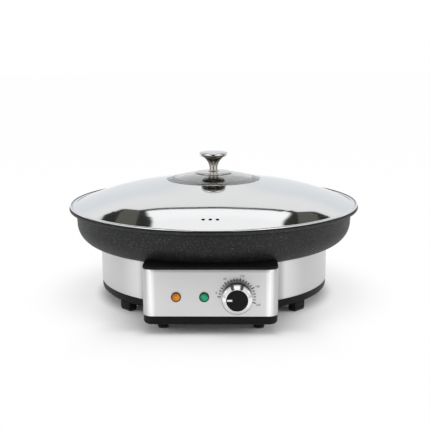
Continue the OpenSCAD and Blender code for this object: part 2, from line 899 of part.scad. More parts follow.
module heat_shield() {
    gland_notch_w = 2 * (gland_nut_r + gland_room);
    color("lightgray")
        difference() {
            translate([0, 0, shield_z])
                cylinder(r = shield_r, h = shield_t);
            translate([-shield_notch_w / 2, -shield_r - cut, shield_z - cut])
                cube([shield_notch_w, shield_r + element_end_y + shield_notch_room, shield_t + 2 * cut]);
            translate([-gland_notch_w / 2, gland_in_y - gland_room, shield_z - cut])
                cube([gland_notch_w, shield_r, shield_t + 2 * cut]);
            for (a = stud_angles)
                rotate([0, 0, a])
                    translate([stud_reach, 0, shield_z - cut])
                        cylinder(r = stud_r + hole_gap, h = shield_t + 2 * cut);
        }
}

module tie_studs() {
    foot_z = tray_z - stud_washer_t - stud_nut_t - stud_end;
    color("silver")
        for (a = stud_angles)
            rotate([0, 0, a])
                translate([stud_reach, 0, foot_z])
                    cylinder(r = stud_r, h = stud_boss_z + stud_in - foot_z);
}

// Spacer tubes on the studs between two heights
module stud_spacers(from, to) {
    wall = 2.2;
    for (a = stud_angles)
        rotate([0, 0, a])
            translate([stud_reach, 0, from])
                difference() {
                    cylinder(r = stud_r + wall, h = to - from);
                    translate([0, 0, -cut])
                        cylinder(r = stud_r + hole_gap, h = to - from + 2 * cut);
                }
}

module upper_spacers() {
    color("silver")
        stud_spacers(shield_z + shield_t, stud_boss_z);
}

module lower_spacers() {
    color("silver")
        stud_spacers(tray_floor_z, shield_z);
}

module stud_washers() {
    color("silver")
        for (a = stud_angles)
            rotate([0, 0, a])
                translate([stud_reach, 0, tray_z - stud_washer_t])
                    difference() {
                        cylinder(r = stud_r * 2.4, h = stud_washer_t);
                        translate([0, 0, -cut])
                            cylinder(r = stud_r + hole_gap, h = stud_washer_t + 2 * cut);
                    }
}

module stud_nuts() {
    color("silver")
        for (a = stud_angles)
            rotate([0, 0, a])
                translate([stud_reach, 0, tray_z - stud_washer_t - stud_nut_t])
                    difference() {
                        cylinder(r = stud_r * 1.9, h = stud_nut_t, $fn = 6);
                        translate([0, 0, -cut])
                            cylinder(r = stud_r + thread_gap, h = stud_nut_t + 2 * cut);
                    }
}

module thermostat_body() {
    w = thermostat_w;
    color([0.85, 0.82, 0.74])
        difference() {
            union() {
                translate([dial_x - w / 2, panel_in_y, dial_z - w / 2])
                    cube([w, thermostat_depth, w]);
                on_front(dial_x, panel_in_y + cut, dial_z)
                    cylinder(r = bush_r, h = panel_t + bush_len + cut);
            }
            on_front(dial_x, panel_in_y + shaft_in + 1, dial_z)
                cylinder(r = shaft_d / 2 + thread_gap, h = panel_t + bush_len + shaft_in + 1 + cut);
        }
}

module thermostat_nut() {
    color("silver")
        on_front(dial_x, front_y, dial_z)
            difference() {
                cylinder(r = bush_nut_r, h = bush_nut_t, $fn = 6);
                translate([0, 0, -cut])
                    cylinder(r = bush_r + thread_gap, h = bush_nut_t + 2 * cut);
            }
}

module sensor_bulb() {
    color("peru")
        translate([0, bulb_front_y, bulb_z])
            rotate([-90, 0, 0])
                cylinder(d = bulb_d, h = bulb_len);
}

// Two saddle clips that press the bulb to the pan's underside
module bulb_clips() {
    inner_r = bulb_d / 2 + slip_gap;
    outer_r = inner_r + clip_t;
    reach = outer_r + clip_ear;
    color("silver")
        for (y = [bulb_front_y + clip_end_room, bulb_front_y + bulb_len - clip_end_room])
            translate([0, y - clip_w / 2, 0])
                difference() {
                    union() {
                        translate([0, 0, bulb_z])
                            rotate([-90, 0, 0])
                                cylinder(r = outer_r, h = clip_w);
                        translate([-reach, 0, pan_z - clip_t])
                            cube([2 * reach, clip_w, clip_t]);
                        translate([-outer_r, 0, bulb_z])
                            cube([2 * outer_r, clip_w, pan_z - bulb_z]);
                    }
                    translate([0, -cut, bulb_z])
                        rotate([-90, 0, 0])
                            cylinder(r = inner_r, h = clip_w + 2 * cut);
                    translate([-inner_r, -cut, bulb_z])
                        cube([2 * inner_r, clip_w + 2 * cut, pan_z - bulb_z + cut]);
                    translate([-reach - cut, -cut, pan_z])
                        cube([2 * (reach + cut), clip_w + 2 * cut, outer_r]);
                }
}

module capillary_tube() {
    color("peru")
        tube(smooth(capillary_route, 5), capillary_r, [0.12, 0.25, 0.96]);
}

module thermostat_shaft() {
    color("gold")
        on_front(dial_x, panel_in_y + shaft_in, dial_z)
            cylinder(d = shaft_d, h = shaft_in + panel_t + dial_gap + shaft_out);
}

module dial_body() {
    skirt_r = dial_skirt_d / 2;
    face_r = dial_face_d / 2;
    hollow_r = bush_nut_r + 2.5;
    hollow = dial_gap + bush_len - 1;
    color([0.08, 0.08, 0.09])
        on_front(dial_x, dial_back_y, dial_z)
            difference() {
                union() {
                    cylinder(r = skirt_r, h = ring_seat);
                    cylinder(r = face_r, h = dial_depth);
                }
                translate([0, 0, -cut])
                    cylinder(r = hollow_r, h = hollow + cut);
                translate([0, 0, -cut])
                    cylinder(r = shaft_d / 2 + thread_gap, h = shaft_out + 0.5 + cut);
            }
}

module dial_ring() {
    out_r = dial_d / 2;
    in_r = dial_face_d / 2 + 0.1;
    front_r = in_r + 0.6;
    profile = [
        [in_r, ring_seat], [out_r - 0.4, ring_seat], [out_r, ring_seat + 0.4], [out_r, ring_seat + 1.4],
        [front_r, dial_depth + 0.4], [in_r, dial_depth + 0.4]
    ];
    color("gainsboro")
        on_front(dial_x, dial_back_y, dial_z)
            rotate_extrude()
                polygon(profile);
}

module dial_pointer() {
    pointer_len = 6.6;
    pointer_w = 2.8;
    color("white")
        on_front(dial_x, dial_back_y - dial_depth, dial_z)
            translate([-dial_face_d / 2 + 0.5, -pointer_w / 2, 0])
                cube([pointer_len, pointer_w, 0.4]);
}

// Pilot lamp lens with a crowned front
module lamp_lens(x) {
    r = lamp_d / 2;
    crown = lamp_proud * 0.45;
    sphere_r = (pow(r - 0.6, 2) + pow(crown, 2)) / (2 * crown);
    front = arc(0, lamp_proud - sphere_r, sphere_r, 90 - asin((r - 0.6) / sphere_r), 90);
    on_front(x, front_y, lamp_z)
        rotate_extrude()
            polygon(concat([[0, 0], [r, 0], [r, lamp_proud - crown - 0.4]], front));
}

// Pilot lamp body behind the lens
module lamp_body(x) {
    tab_w = 3;
    on_front(x, front_y, lamp_z)
        translate([0, 0, -lamp_body_len])
            cylinder(r = lamp_body_r, h = lamp_body_len);
    for (side = [-1, 1])
        translate([x + side * lamp_tab_x - tab_t / 2, front_y + lamp_body_len - cut, lamp_z - tab_w / 2])
            cube([tab_t, lamp_tab_len + cut, tab_w]);
}

module power_lamp_lens() {
    color("orange")
        lamp_lens(power_lamp_x);
}

module power_lamp_body() {
    color("ivory")
        lamp_body(power_lamp_x);
}

module heating_lamp_lens() {
    color("mediumseagreen")
        lamp_lens(heating_lamp_x);
}

module heating_lamp_body() {
    color("ivory")
        lamp_body(heating_lamp_x);
}

module lamp_nuts() {
    color("gray")
        for (x = [power_lamp_x, heating_lamp_x])
            on_front(x, panel_in_y + lamp_nut_t, lamp_z)
                difference() {
                    cylinder(r = lamp_nut_r, h = lamp_nut_t, $fn = 6);
                    translate([0, 0, -cut])
                        cylinder(r = lamp_body_r + thread_gap, h = lamp_nut_t + 2 * cut);
                }
}

module terminal_block() {
    color("white")
        difference() {
            translate([block_x - block_w / 2, block_y - block_depth / 2, tray_floor_z])
                cube([block_w, block_depth, block_h]);
            for (i = [-1:1])
                translate([block_x + i * block_screw_pitch, block_y, tray_floor_z + block_h - 5])
                    cylinder(r = 2.6, h = 5 + cut);
        }
}

module terminal_screws() {
    color("goldenrod")
        for (i = [-1:1])
            translate([block_x + i * block_screw_pitch, block_y, tray_floor_z + block_h - 5])
                difference() {
                    cylinder(r = 2.3, h = 3);
                    translate([-3, -0.4, 2])
                        cube([6, 0.8, cut + 1]);
                }
}

// Ways of the wires and the capillary, each from one face it meets to the next
block_back_y = block_y + block_depth / 2 + seat_gap;
block_front_y = block_y - block_depth / 2 - seat_gap;
block_left_x = block_x - block_screw_pitch;
block_right_x = block_x + block_screw_pitch;
wire_z = tray_floor_z + block_h / 2;
low_z = tray_floor_z + 7;
gland_mouth_y = gland_in_y - seat_gap;
lamp_tab_y = front_y + lamp_body_len + lamp_tab_len + seat_gap;
case_back_y = thermostat_back_y + seat_gap;
pin_under_z = pin_end_z - seat_gap;
cutout_under_z = clamp_z - cutout_h - cutout_tab_len - seat_gap;
supply_live = [
    [-2.2, gland_mouth_y, gland_z],
    [-2.2, gland_mouth_y - 3, gland_z],
    [-8, gland_mouth_y - 18, gland_z - 1],
    [-14, 60, low_z],
    [-40, -30, low_z],
    [block_left_x, block_back_y + 16, wire_z],
    [block_left_x, block_back_y, wire_z]
];
supply_neutral = [
    [2.2, gland_mouth_y, gland_z],
    [2.2, gland_mouth_y - 3, gland_z],
    [8, gland_mouth_y - 18, gland_z - 1],
    [0, 60, low_z],
    [-26, -30, low_z],
    [block_right_x, block_back_y + 16, wire_z],
    [block_right_x, block_back_y, wire_z]
];
block_to_thermostat = [
    [block_left_x, block_front_y, wire_z],
    [block_left_x, block_front_y - 7, wire_z],
    [-40, -band_r + 20, band_z + 11],
    [-20, -band_r + 4, band_z + 19],
    [6, -band_r - 2, band_z + 19],
    [dial_x - 8, case_back_y + 8, dial_z - 4],
    [dial_x - 8, case_back_y, dial_z - 4]
];
thermostat_to_cutout = [
    [dial_x, case_back_y, dial_z - 12],
    [dial_x, case_back_y + 8, dial_z - 12],
    [24, -band_r + 4, band_z + 21],
    [34, element_end_y - 28, band_z + 27],
    [50, element_end_y + 2, band_z + 25],
    front_point(cutout_angle, cutout_reach, -cutout_tab_x, cutout_under_z - 5),
    front_point(cutout_angle, cutout_reach, -cutout_tab_x, cutout_under_z)
];
cutout_to_element = [
    front_point(cutout_angle, cutout_reach, cutout_tab_x, cutout_under_z),
    front_point(cutout_angle, cutout_reach, cutout_tab_x, cutout_under_z - 5),
    [50, element_end_y + 22, band_z + 24],
    [38, element_end_y + 12, band_z + 20],
    [element_end_x + 2, element_end_y + 3, pin_under_z - 8],
    [element_end_x, element_end_y, pin_under_z - 5],
    [element_end_x, element_end_y, pin_under_z]
];
block_to_element = [
    [block_right_x, block_front_y, wire_z],
    [block_right_x, block_front_y - 6, wire_z],
    [block_right_x + 2, block_front_y - 7, wire_z + 6],
    [-element_end_x, element_end_y - 11, pin_under_z - 11],
    [-element_end_x, element_end_y - 2, pin_under_z - 8],
    [-element_end_x, element_end_y, pin_under_z - 5],
    [-element_end_x, element_end_y, pin_under_z]
];
block_to_lamp = [
    [block_x, block_front_y, wire_z],
    [block_x, block_front_y - 7, wire_z],
    [-32, -band_r + 18, band_z + 15],
    [-25, -band_r + 2, band_z + 27],
    [-34, -band_r - 5, band_z + 27],
    [power_lamp_x - lamp_tab_x, lamp_tab_y + 6, lamp_z],
    [power_lamp_x - lamp_tab_x, lamp_tab_y, lamp_z]
];
lamp_to_thermostat = [
    [heating_lamp_x + lamp_tab_x, lamp_tab_y, lamp_z],
    [heating_lamp_x + lamp_tab_x, lamp_tab_y + 6, lamp_z],
    [8, -band_r - 4, band_z + 32],
    [dial_x - 12, case_back_y + 8, dial_z + 8],
    [dial_x - 12, case_back_y, dial_z + 8]
];
lamp_link = [
    [power_lamp_x + lamp_tab_x, lamp_tab_y, lamp_z],
    [power_lamp_x + lamp_tab_x, lamp_tab_y + 5, lamp_z],
    [(power_lamp_x + heating_lamp_x) / 2, lamp_tab_y + 8, lamp_z - 5],
    [heating_lamp_x - lamp_tab_x, lamp_tab_y + 5, lamp_z],
    [heating_lamp_x - lamp_tab_x, lamp_tab_y, lamp_z]
];
gland_to_earth = [
    [0, gland_mouth_y, gland_z - 2.6],
    [0, gland_mouth_y - 6, gland_z - 2.8],
    [0, earth_y + 5, gland_z - 4],
    [0, earth_y + 1, gland_z - 2.6],
    [0, earth_y, shield_z - earth_tag_t - seat_gap - 2.4],
    [0, earth_y, shield_z - earth_tag_t - seat_gap]
];
capillary_route = [
    [dial_x + 8, case_back_y, dial_z + 2],
    [dial_x + 8, case_back_y + 6, dial_z + 2],
    [24, -band_r, band_z + 29],
    [10, -band_r + 23, band_z + 31],
    [0, element_end_y - 12, clamp_z - 3],
    [0, bulb_front_y - 14, bulb_z],
    [0, bulb_front_y - seat_gap, bulb_z]
];
along = [0.1, 0.2, 0.97];
across = [0.97, 0.2, 0.1];

module live_wires() {
    color("sienna") {
        tube(smooth(supply_live, 4), wire_r, along);
        tube(smooth(block_to_thermostat, 4), wire_r, along);
        tube(smooth(thermostat_to_cutout, 4), wire_r, across);
        tube(smooth(cutout_to_element, 4), wire_r, [0.4, -0.9, 0.1]);
        tube(smooth(block_to_lamp, 4), wire_r, along);
    }
}

module neutral_wires() {
    color("steelblue") {
        tube(smooth(supply_neutral, 4), wire_r, along);
        tube(smooth(block_to_element, 4), wire_r, across);
        tube(smooth(lamp_link, 4), wire_r, along);
        tube(smooth(lamp_to_thermostat, 4), wire_r, along);
    }
}

module earth_wire() {
    color("yellowgreen")
        tube(smooth(gland_to_earth, 4), wire_r, across);
}

// Spot-welded tag under the heat shield
module earth_tag() {
    tag_w = 8;
    tag_len = 14;
    color("silver")
        translate([-tag_w / 2, earth_y - tag_len / 2, shield_z - earth_tag_t])
            cube([tag_w, tag_len, earth_tag_t]);
}

module cord_gland() {
    collar_y = band_r + gland_seat;
    color([0.1, 0.1, 0.11])
        difference() {
            union() {
                translate([0, collar_y + gland_collar_t, gland_z])
                    rotate([90, 0, 0])
                        cylinder(d = gland_collar_d, h = gland_collar_t);
                translate([0, collar_y + cut, gland_z])
                    rotate([90, 0, 0])
                        cylinder(r = gland_thread_r, h = collar_y + cut - gland_in_y);
            }
            translate([0, collar_y + gland_collar_t + cut, gland_z])
                rotate([90, 0, 0])
                    cylinder(r = gland_r, h = collar_y + gland_collar_t + 2 * cut - gland_in_y);
        }
}

module gland_nut() {
    color([0.12, 0.12, 0.13])
        translate([0, gland_nut_y, gland_z])
            rotate([90, 0, 0])
                difference() {
                    cylinder(r = gland_nut_r, h = gland_nut_t, $fn = 6);
                    translate([0, 0, -cut])
                        cylinder(r = gland_thread_r + thread_gap, h = gland_nut_t + 2 * cut);
                }
}

// Puts its children at the middle of every foot
module foot_screw_places() {
    for (a = ring_foot_angles)
        around_front(a, ring_foot_mid)
            children();
    for (side = [-1, 1])
        translate([side * front_foot_x, front_foot_y, 0])
            children();
}

// A deep counterbore from below for a foot's screw
module foot_screw_hole() {
    translate([0, 0, foot_pad_t - cut])
        cylinder(r = small_head_r + hole_gap, h = foot_h / 2 - foot_pad_t + cut);
    translate([0, 0, foot_pad_t])
        cylinder(r = foot_screw_r + hole_gap, h = foot_h);
}

module front_feet() {
    color([0.1, 0.1, 0.1])
        for (side = [-1, 1])
            translate([side * front_foot_x, front_foot_y, 0])
                difference() {
                    translate([0, 0, foot_pad_t])
                        cylinder(d = front_foot_d, h = foot_h - foot_pad_t);
                    foot_screw_hole();
                }
}

module ring_feet() {
    color([0.12, 0.12, 0.13])
        for (a = ring_foot_angles)
            around_front(a, ring_foot_mid)
                difference() {
                    translate([-ring_foot_w / 2, -ring_foot_depth / 2, foot_pad_t])
                        cube([ring_foot_w, ring_foot_depth, foot_h - foot_pad_t]);
                    foot_screw_hole();
                }
}

module foot_pads() {
    lip = 0.6;
    color([0.07, 0.07, 0.07]) {
        for (a = ring_foot_angles)
            around_front(a, ring_foot_mid)
                translate([-ring_foot_w / 2 + lip, -ring_foot_depth / 2 + lip, 0])
                    cube([ring_foot_w - 2 * lip, ring_foot_depth - 2 * lip, foot_pad_t]);
        for (side = [-1, 1])
            translate([side * front_foot_x, front_foot_y, 0])
                cylinder(d = front_foot_d - 2 * lip, h = foot_pad_t);
    }
}

module foot_screws() {
    color("silver")
        foot_screw_places()
            translate([0, 0, foot_h / 2])
                pan_screw(foot_screw_r, small_head_r, small_head_h, foot_h / 2 + tray_floor);
}

lid_dome();
lid_lip();
lid_glass();
lid_seal();
lid_knob();
lid_knob_plate();
lid_knob_washer();
lid_knob_screw();
pan();
deck_ring();
base_band();
base_tray();
control_panel();
control_cap();
cap_screws();
heating_element();
element_terminals();
clamp_plate();
clamp_screws();
thermal_cutout();
heat_shield();
tie_studs();
upper_spacers();
lower_spacers();
stud_washers();
stud_nuts();
thermostat_body();
thermostat_nut();
sensor_bulb();
bulb_clips();
capillary_tube();
thermostat_shaft();
dial_body();
dial_ring();
dial_pointer();
power_lamp_lens();
power_lamp_body();
heating_lamp_lens();
heating_lamp_body();
lamp_nuts();
terminal_block();
terminal_screws();
live_wires();
neutral_wires();
earth_wire();
earth_tag();
cord_gland();
gland_nut();
front_feet();
ring_feet();
foot_pads();
foot_screws();
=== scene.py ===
import math
import bmesh
import bpy
from mathutils import Matrix, Vector


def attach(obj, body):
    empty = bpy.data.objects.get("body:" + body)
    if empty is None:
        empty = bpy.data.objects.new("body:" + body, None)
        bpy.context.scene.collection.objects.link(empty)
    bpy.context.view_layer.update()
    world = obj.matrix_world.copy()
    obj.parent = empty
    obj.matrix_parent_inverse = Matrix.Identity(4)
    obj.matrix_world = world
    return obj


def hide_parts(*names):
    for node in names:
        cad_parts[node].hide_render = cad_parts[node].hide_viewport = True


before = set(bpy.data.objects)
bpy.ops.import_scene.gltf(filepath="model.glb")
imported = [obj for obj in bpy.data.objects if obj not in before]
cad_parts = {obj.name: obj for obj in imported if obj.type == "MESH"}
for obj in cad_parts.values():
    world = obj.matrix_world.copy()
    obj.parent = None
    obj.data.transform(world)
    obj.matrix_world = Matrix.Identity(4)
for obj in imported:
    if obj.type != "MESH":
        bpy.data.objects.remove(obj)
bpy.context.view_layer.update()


# Tray under the base: one black heat-resistant moulding, a round dish that runs
# forward under the control box. Its lower edge is rounded, and the steel band
# and the steel front stand on its rim. Screws and studs come up through its floor.
mm = 0.001


class Flow:
    """A value in a material; arithmetic on it adds Math nodes."""

    def __init__(self, tree, socket=None):
        self.tree = tree
        self.socket = socket

    def node(self, kind, settings=None, sockets=None, out=0):
        """Any node: its type, its settings first, then the values or links of its sockets."""
        made = self.tree.nodes.new("ShaderNode" + kind)
        for name, value in (settings or {}).items():
            setattr(made, name, value)
        for name, value in (sockets or {}).items():
            if isinstance(value, Flow):
                self.tree.links.new(value.socket, made.inputs[name])
            else:
                made.inputs[name].default_value = value
        return Flow(self.tree, made.outputs[out])

    def feed(self, socket):
        self.tree.links.new(self.socket, socket)

    def math(self, operation, *values):
        return self.node("Math", {"operation": operation}, dict(enumerate(values)))

    def axes(self, space="Object"):
        """The x, y and z of a place on the piece in metres, or of a direction in the world."""
        place = self.node("TexCoord", out=space)
        return [self.node("SeparateXYZ", {}, {0: place}, out=i) for i in range(3)]

    def rise(self, edge, soft):
        """From 0 to 1 as the value passes an edge, over a soft width on either side."""
        return self.node("MapRange", {"interpolation_type": "SMOOTHSTEP"},
                         {"Value": self, "From Min": edge - soft, "From Max": edge + soft})

    def at_least(self, other):
        return self.math("MAXIMUM", self, other)

    def at_most(self, other):
        return self.math("MINIMUM", self, other)

    def __abs__(self):
        return self.math("ABSOLUTE", self)

    def __add__(self, other):
        return self.math("ADD", self, other)

    def __radd__(self, other):
        return self.math("ADD", other, self)

    def __sub__(self, other):
        return self.math("SUBTRACT", self, other)

    def __rsub__(self, other):
        return self.math("SUBTRACT", other, self)

    def __mul__(self, other):
        return self.math("MULTIPLY", self, other)

    def __rmul__(self, other):
        return self.math("MULTIPLY", other, self)

    def __truediv__(self, other):
        return self.math("DIVIDE", self, other)

    def __rtruediv__(self, other):
        return self.math("DIVIDE", other, self)


def finish(name, constants):
    """A new material with its constant values set, its shader's sockets, and a Flow to paint with."""
    material = bpy.data.materials.new(name)
    material.use_nodes = True
    tree = material.node_tree
    shader = next(n for n in tree.nodes if n.type == "BSDF_PRINCIPLED")
    for socket, value in constants.items():
        shader.inputs[socket].default_value = value
    return material, shader.inputs, Flow(tree)


def noise(paint, scale, detail=2.0, stretch=None):
    """Noise fixed to the piece, with this many features to the metre, stretched if asked."""
    place = paint.node("TexCoord", out="Object")
    if stretch:
        place = paint.node("Mapping", {}, {"Vector": place, "Scale": stretch})
    return paint.node("TexNoise", {}, {"Vector": place, "Scale": scale, "Detail": detail})


def blend(paint, amount, first, second):
    return paint.node("Mix", {"data_type": "RGBA"}, {0: amount, 6: first, 7: second}, out=2)


def relief(paint, height, depth, strength):
    return paint.node("Bump", {}, {"Strength": strength, "Distance": depth, "Height": height})


def moulding(name, dark, light, gloss, shine=0.45):
    """Black or coloured plastic with the fine grain of its mould and a few dull rubbed places."""
    material, into, paint = finish(name, {"Specular IOR Level": shine})
    cloud = noise(paint, 38, 3)
    grain = noise(paint, 2600, 2)
    blend(paint, cloud, dark, light).feed(into["Base Color"])
    (gloss + 0.14 * cloud + 0.08 * grain).feed(into["Roughness"])
    relief(paint, grain, 0.06 * mm, 0.55).feed(into["Normal"])
    return material


def piece(name, points, faces, material, sharp=38):
    """A smooth-shaded mesh from points in millimetres, with creases where it turns sharply."""
    weld = 1e-7
    mesh = bpy.data.meshes.new(name)
    mesh.from_pydata([[c * mm for c in p] for p in points], [], faces)
    work = bmesh.new()
    work.from_mesh(mesh)
    bmesh.ops.remove_doubles(work, verts=work.verts, dist=weld)
    bmesh.ops.dissolve_degenerate(work, edges=work.edges, dist=weld)
    bmesh.ops.recalc_face_normals(work, faces=work.faces)
    for face in work.faces:
        face.smooth = True
    for edge in work.edges:
        edge.smooth = edge.calc_face_angle(0.0) < math.radians(sharp)
    work.to_mesh(mesh)
    work.free()
    mesh.materials.append(material)
    made = bpy.data.objects.new(name, mesh)
    bpy.context.scene.collection.objects.link(made)
    return made


def lofted(rings):
    """A skin through rings of points with equal counts, closed at both ends."""
    count = len(rings[0])
    points = [p for ring in rings for p in ring]
    faces = [tuple(range(count)), tuple(range(len(points) - count, len(points)))]
    for k in range(len(rings) - 1):
        here, there = k * count, (k + 1) * count
        for i in range(count):
            j = (i + 1) % count
            faces.append((here + i, here + j, there + j, there + i))
    return points, faces


def box_front(inset, half_w, front_y, corner_r, ring_r):
    """Plan of the control box from its left rear, round the front, to its right rear."""
    side_steps, turn_steps, face_steps = 12, 12, 6
    w = half_w - inset
    r = corner_r - inset
    y = front_y + inset
    rear = -math.sqrt(ring_r ** 2 - w ** 2)
    side = [(-w, rear + (y + r - rear) * i / side_steps) for i in range(side_steps)]
    angles = [math.pi / 2 / turn_steps * i for i in range(turn_steps)]
    turn = [(-w + r - r * math.cos(a), y + r - r * math.sin(a)) for a in angles]
    left = side + turn + [(-w + r + (w - r) * i / face_steps, y) for i in range(face_steps)]
    return left + [(0, y)] + [(-x, v) for x, v in reversed(left)]


tray_r, tray_half_w, tray_front_y, tray_corner_r = 157.4, 80.8, -200.5, 11.6
tray_top, tray_low, tray_edge, ring_steps = 22.6, 11.5, 4.0, 120


def tray_plan(inset, z):
    """Outline of the tray at a height, moved in from its outer wall."""
    ring_r = tray_r - inset
    front = box_front(inset, tray_half_w, tray_front_y, tray_corner_r, ring_r)
    start = math.atan2(front[-1][1], front[-1][0])
    sweep = math.pi - 2 * start
    angles = [start + sweep * i / ring_steps for i in range(1, ring_steps)]
    ring = [(ring_r * math.cos(a), ring_r * math.sin(a)) for a in angles]
    return [(x, y, z) for x, y in front + ring]


black_moulding = moulding("black_moulding", (0.005, 0.005, 0.0054, 1), (0.008, 0.008, 0.0084, 1), 0.36, 0.11)
tray_rim = [(6, 14.0), (3.2, 14.2), (2.5, 15), (2.5, tray_top - 0.3), (2.2, tray_top), (0.4, tray_top),
            (0.1, tray_top - 0.1), (0, tray_top - 0.4), (0, 19.6)]
lower_edge = [(tray_edge - tray_edge * math.cos(a), tray_low + tray_edge - tray_edge * math.sin(a))
              for a in (math.pi / 16 * i for i in range(9))]
tray_rows = tray_rim + lower_edge + [(6, tray_low)]
tray = piece("tray", *lofted([tray_plan(inset, z) for inset, z in tray_rows]), black_moulding)
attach(tray, "base")
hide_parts("base_tray")


# Feet: four block feet moulded in black under the ring, two round ones under the
# control box. Each is held by a screw from below, hidden by a glued rubber pad
# that stands 2 mm proud of it.
def turned(outline, steps):
    """Body of revolution about Z from a closed outline of radius and height."""
    count = len(outline)
    points, faces = [], []
    for k in range(steps):
        a = 2 * math.pi * k / steps
        points += [(r * math.sin(a), -r * math.cos(a), z) for r, z in outline]
        here, there = k * count, (k + 1) % steps * count
        for i in range(count):
            j = (i + 1) % count
            faces.append((here + i, there + i, there + j, here + j))
    return points, faces


def rounded(corners, steps=6):
    """A closed outline whose corners (radius, height, fillet) are rounded by their fillets."""
    outline = []
    for i, (x, z, *fillet) in enumerate(corners):
        if not fillet:
            outline.append((x, z))
            continue
        here = Vector((x, z))
        back = Vector(corners[i - 1][:2]) - here
        ahead = Vector(corners[(i + 1) % len(corners)][:2]) - here
        half = back.angle(ahead) / 2
        reach = min(fillet[0] / math.tan(half), 0.49 * back.length, 0.49 * ahead.length)
        radius = reach * math.tan(half)
        centre = here + (back.normalized() + ahead.normalized()).normalized() * radius / math.sin(half)
        start = here + back.normalized() * reach - centre
        end = here + ahead.normalized() * reach - centre
        for k in range(steps + 1):
            outline.append(tuple(centre + radius * start.slerp(end, k / steps)))
    return outline


def moved(shape, matrix):
    points, faces = shape
    return [tuple(matrix @ Vector(p)) for p in points], faces


def together(shapes):
    """Several bodies as one mesh."""
    points, faces = [], []
    for more, sides in shapes:
        faces += [tuple(i + len(points) for i in side) for side in sides]
        points += more
    return points, faces


def block(w, depth, low, high, corner_r, edge_r):
    """An upright block with rounded corners and a rounded lower edge, tapered like a moulding."""
    taper, cut = 0.2, edge_r * 0.3
    rings = []
    for inset, z in [(0.4, high), (0.1, high - 0.4), (0, high - 1.2), (taper, low + edge_r),
                     (taper + cut, low + cut), (taper + edge_r, low)]:
        ring = []
        for cx, cy, first in ((1, 1, 0), (-1, 1, 90), (-1, -1, 180), (1, -1, 270)):
            for k in range(7):
                a = math.radians(first + 15 * k)
                ring.append((cx * (w / 2 - corner_r) + (corner_r - inset) * math.cos(a),
                             cy * (depth / 2 - corner_r) + (corner_r - inset) * math.sin(a), z))
        rings.append(ring)
    return lofted(rings)


def grey(tone):
    return (tone, tone, tone, 1)


foot_reach, front_foot_x, front_foot_y, pad_top = 149.5, 58.8, -171.9, 2
foot_places = [Matrix.Rotation(math.radians(a), 4, "Z") @ Matrix.Translation((0, -foot_reach, 0))
               for a in (-47.5, 47.5, -132.5, 132.5)]
block_foot = block(21, 12, pad_top, tray_low, 1.8, 0.9)
ring_feet = piece("ring_feet", *together([moved(block_foot, m) for m in foot_places]), black_moulding)
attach(ring_feet, "base")
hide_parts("ring_feet")

front_foot_places = [Matrix.Translation((x, front_foot_y, 0)) for x in (-front_foot_x, front_foot_x)]
front_foot = turned(rounded(
    [(0, pad_top), (6.9, pad_top, 0.8), (7.2, 8.5), (7.2, tray_low), (0, tray_low)]), 64)
front_feet = piece("front_feet", *together([moved(front_foot, m) for m in front_foot_places]), black_moulding)
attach(front_feet, "base")
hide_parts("front_feet")

pad_rubber = moulding("pad_rubber", grey(0.020), grey(0.034), 0.72)
block_pad = block(19.8, 10.8, 0, 2.3, 1.4, 0.4)
round_pad = turned(rounded([(0, 0), (6.6, 0, 0.5), (6.6, pad_top), (0, pad_top)]), 64)
foot_pads = piece("foot_pads", *together(
    [moved(block_pad, m) for m in foot_places]
    + [moved(round_pad, m) for m in front_foot_places]), pad_rubber)
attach(foot_pads, "base")
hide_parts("foot_pads")


# Wiring and heating parts inside the base: they keep the shapes they are built
# with. The tubular element is pressed to the pan by a plate, and thermostat,
# cut-out, terminal block and lamps are screwed, clipped or nutted in place.
def worked_metal(name, colour, dull, rough, stretch=None):
    """Bare or plated metal: dull clouds, fine rolling or turning marks."""
    material, into, paint = finish(name, {"Metallic": 1.0})
    cloud = noise(paint, 60, 3)
    marks = noise(paint, 900, 2, stretch)
    blend(paint, cloud, colour, dull).feed(into["Base Color"])
    (rough + 0.16 * cloud + 0.10 * marks).feed(into["Roughness"])
    relief(paint, marks, 0.04 * mm, 0.4).feed(into["Normal"])
    return material


def dress(material, *nodes):
    for node in nodes:
        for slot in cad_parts[node].material_slots:
            slot.material = material


dress(worked_metal("plated_steel", (0.60, 0.60, 0.58, 1), (0.46, 0.46, 0.43, 1), 0.30),
      "lid_knob_washer", "lid_knob_screw", "cap_screws", "clamp_plate", "clamp_screws", "tie_studs",
      "upper_spacers", "lower_spacers", "stud_washers", "stud_nuts", "bulb_clips", "foot_screws",
      "thermostat_nut", "earth_tag")
dress(worked_metal("shield_steel", (0.68, 0.68, 0.69, 1), grey(0.55), 0.34, (1, 0.05, 1)), "heat_shield")
dress(worked_metal("element_sheath", (0.19, 0.18, 0.17, 1), (0.10, 0.085, 0.075, 1), 0.42), "heating_element")
dress(worked_metal("bare_copper", (0.72, 0.38, 0.23, 1), (0.48, 0.22, 0.13, 1), 0.28),
      "sensor_bulb", "capillary_tube")
dress(worked_metal("turned_brass", (0.76, 0.58, 0.27, 1), (0.60, 0.43, 0.19, 1), 0.26),
      "thermostat_shaft", "terminal_screws")
dress(moulding("ivory_ceramic", (0.80, 0.76, 0.66, 1), (0.70, 0.65, 0.54, 1), 0.30), "element_terminals")
dress(moulding("cutout_black", grey(0.018), grey(0.03), 0.38), "thermal_cutout")
dress(moulding("thermostat_cream", (0.70, 0.65, 0.52, 1), (0.60, 0.55, 0.43, 1), 0.42), "thermostat_body")
dress(moulding("white_nylon", (0.84, 0.83, 0.78, 1), (0.74, 0.73, 0.68, 1), 0.38),
      "terminal_block", "power_lamp_body", "heating_lamp_body")
dress(moulding("grey_nylon", (0.28, 0.28, 0.29, 1), (0.20, 0.20, 0.21, 1), 0.40), "lamp_nuts")
dress(moulding("brown_insulation", (0.19, 0.075, 0.03, 1), (0.13, 0.05, 0.02, 1), 0.40), "live_wires")
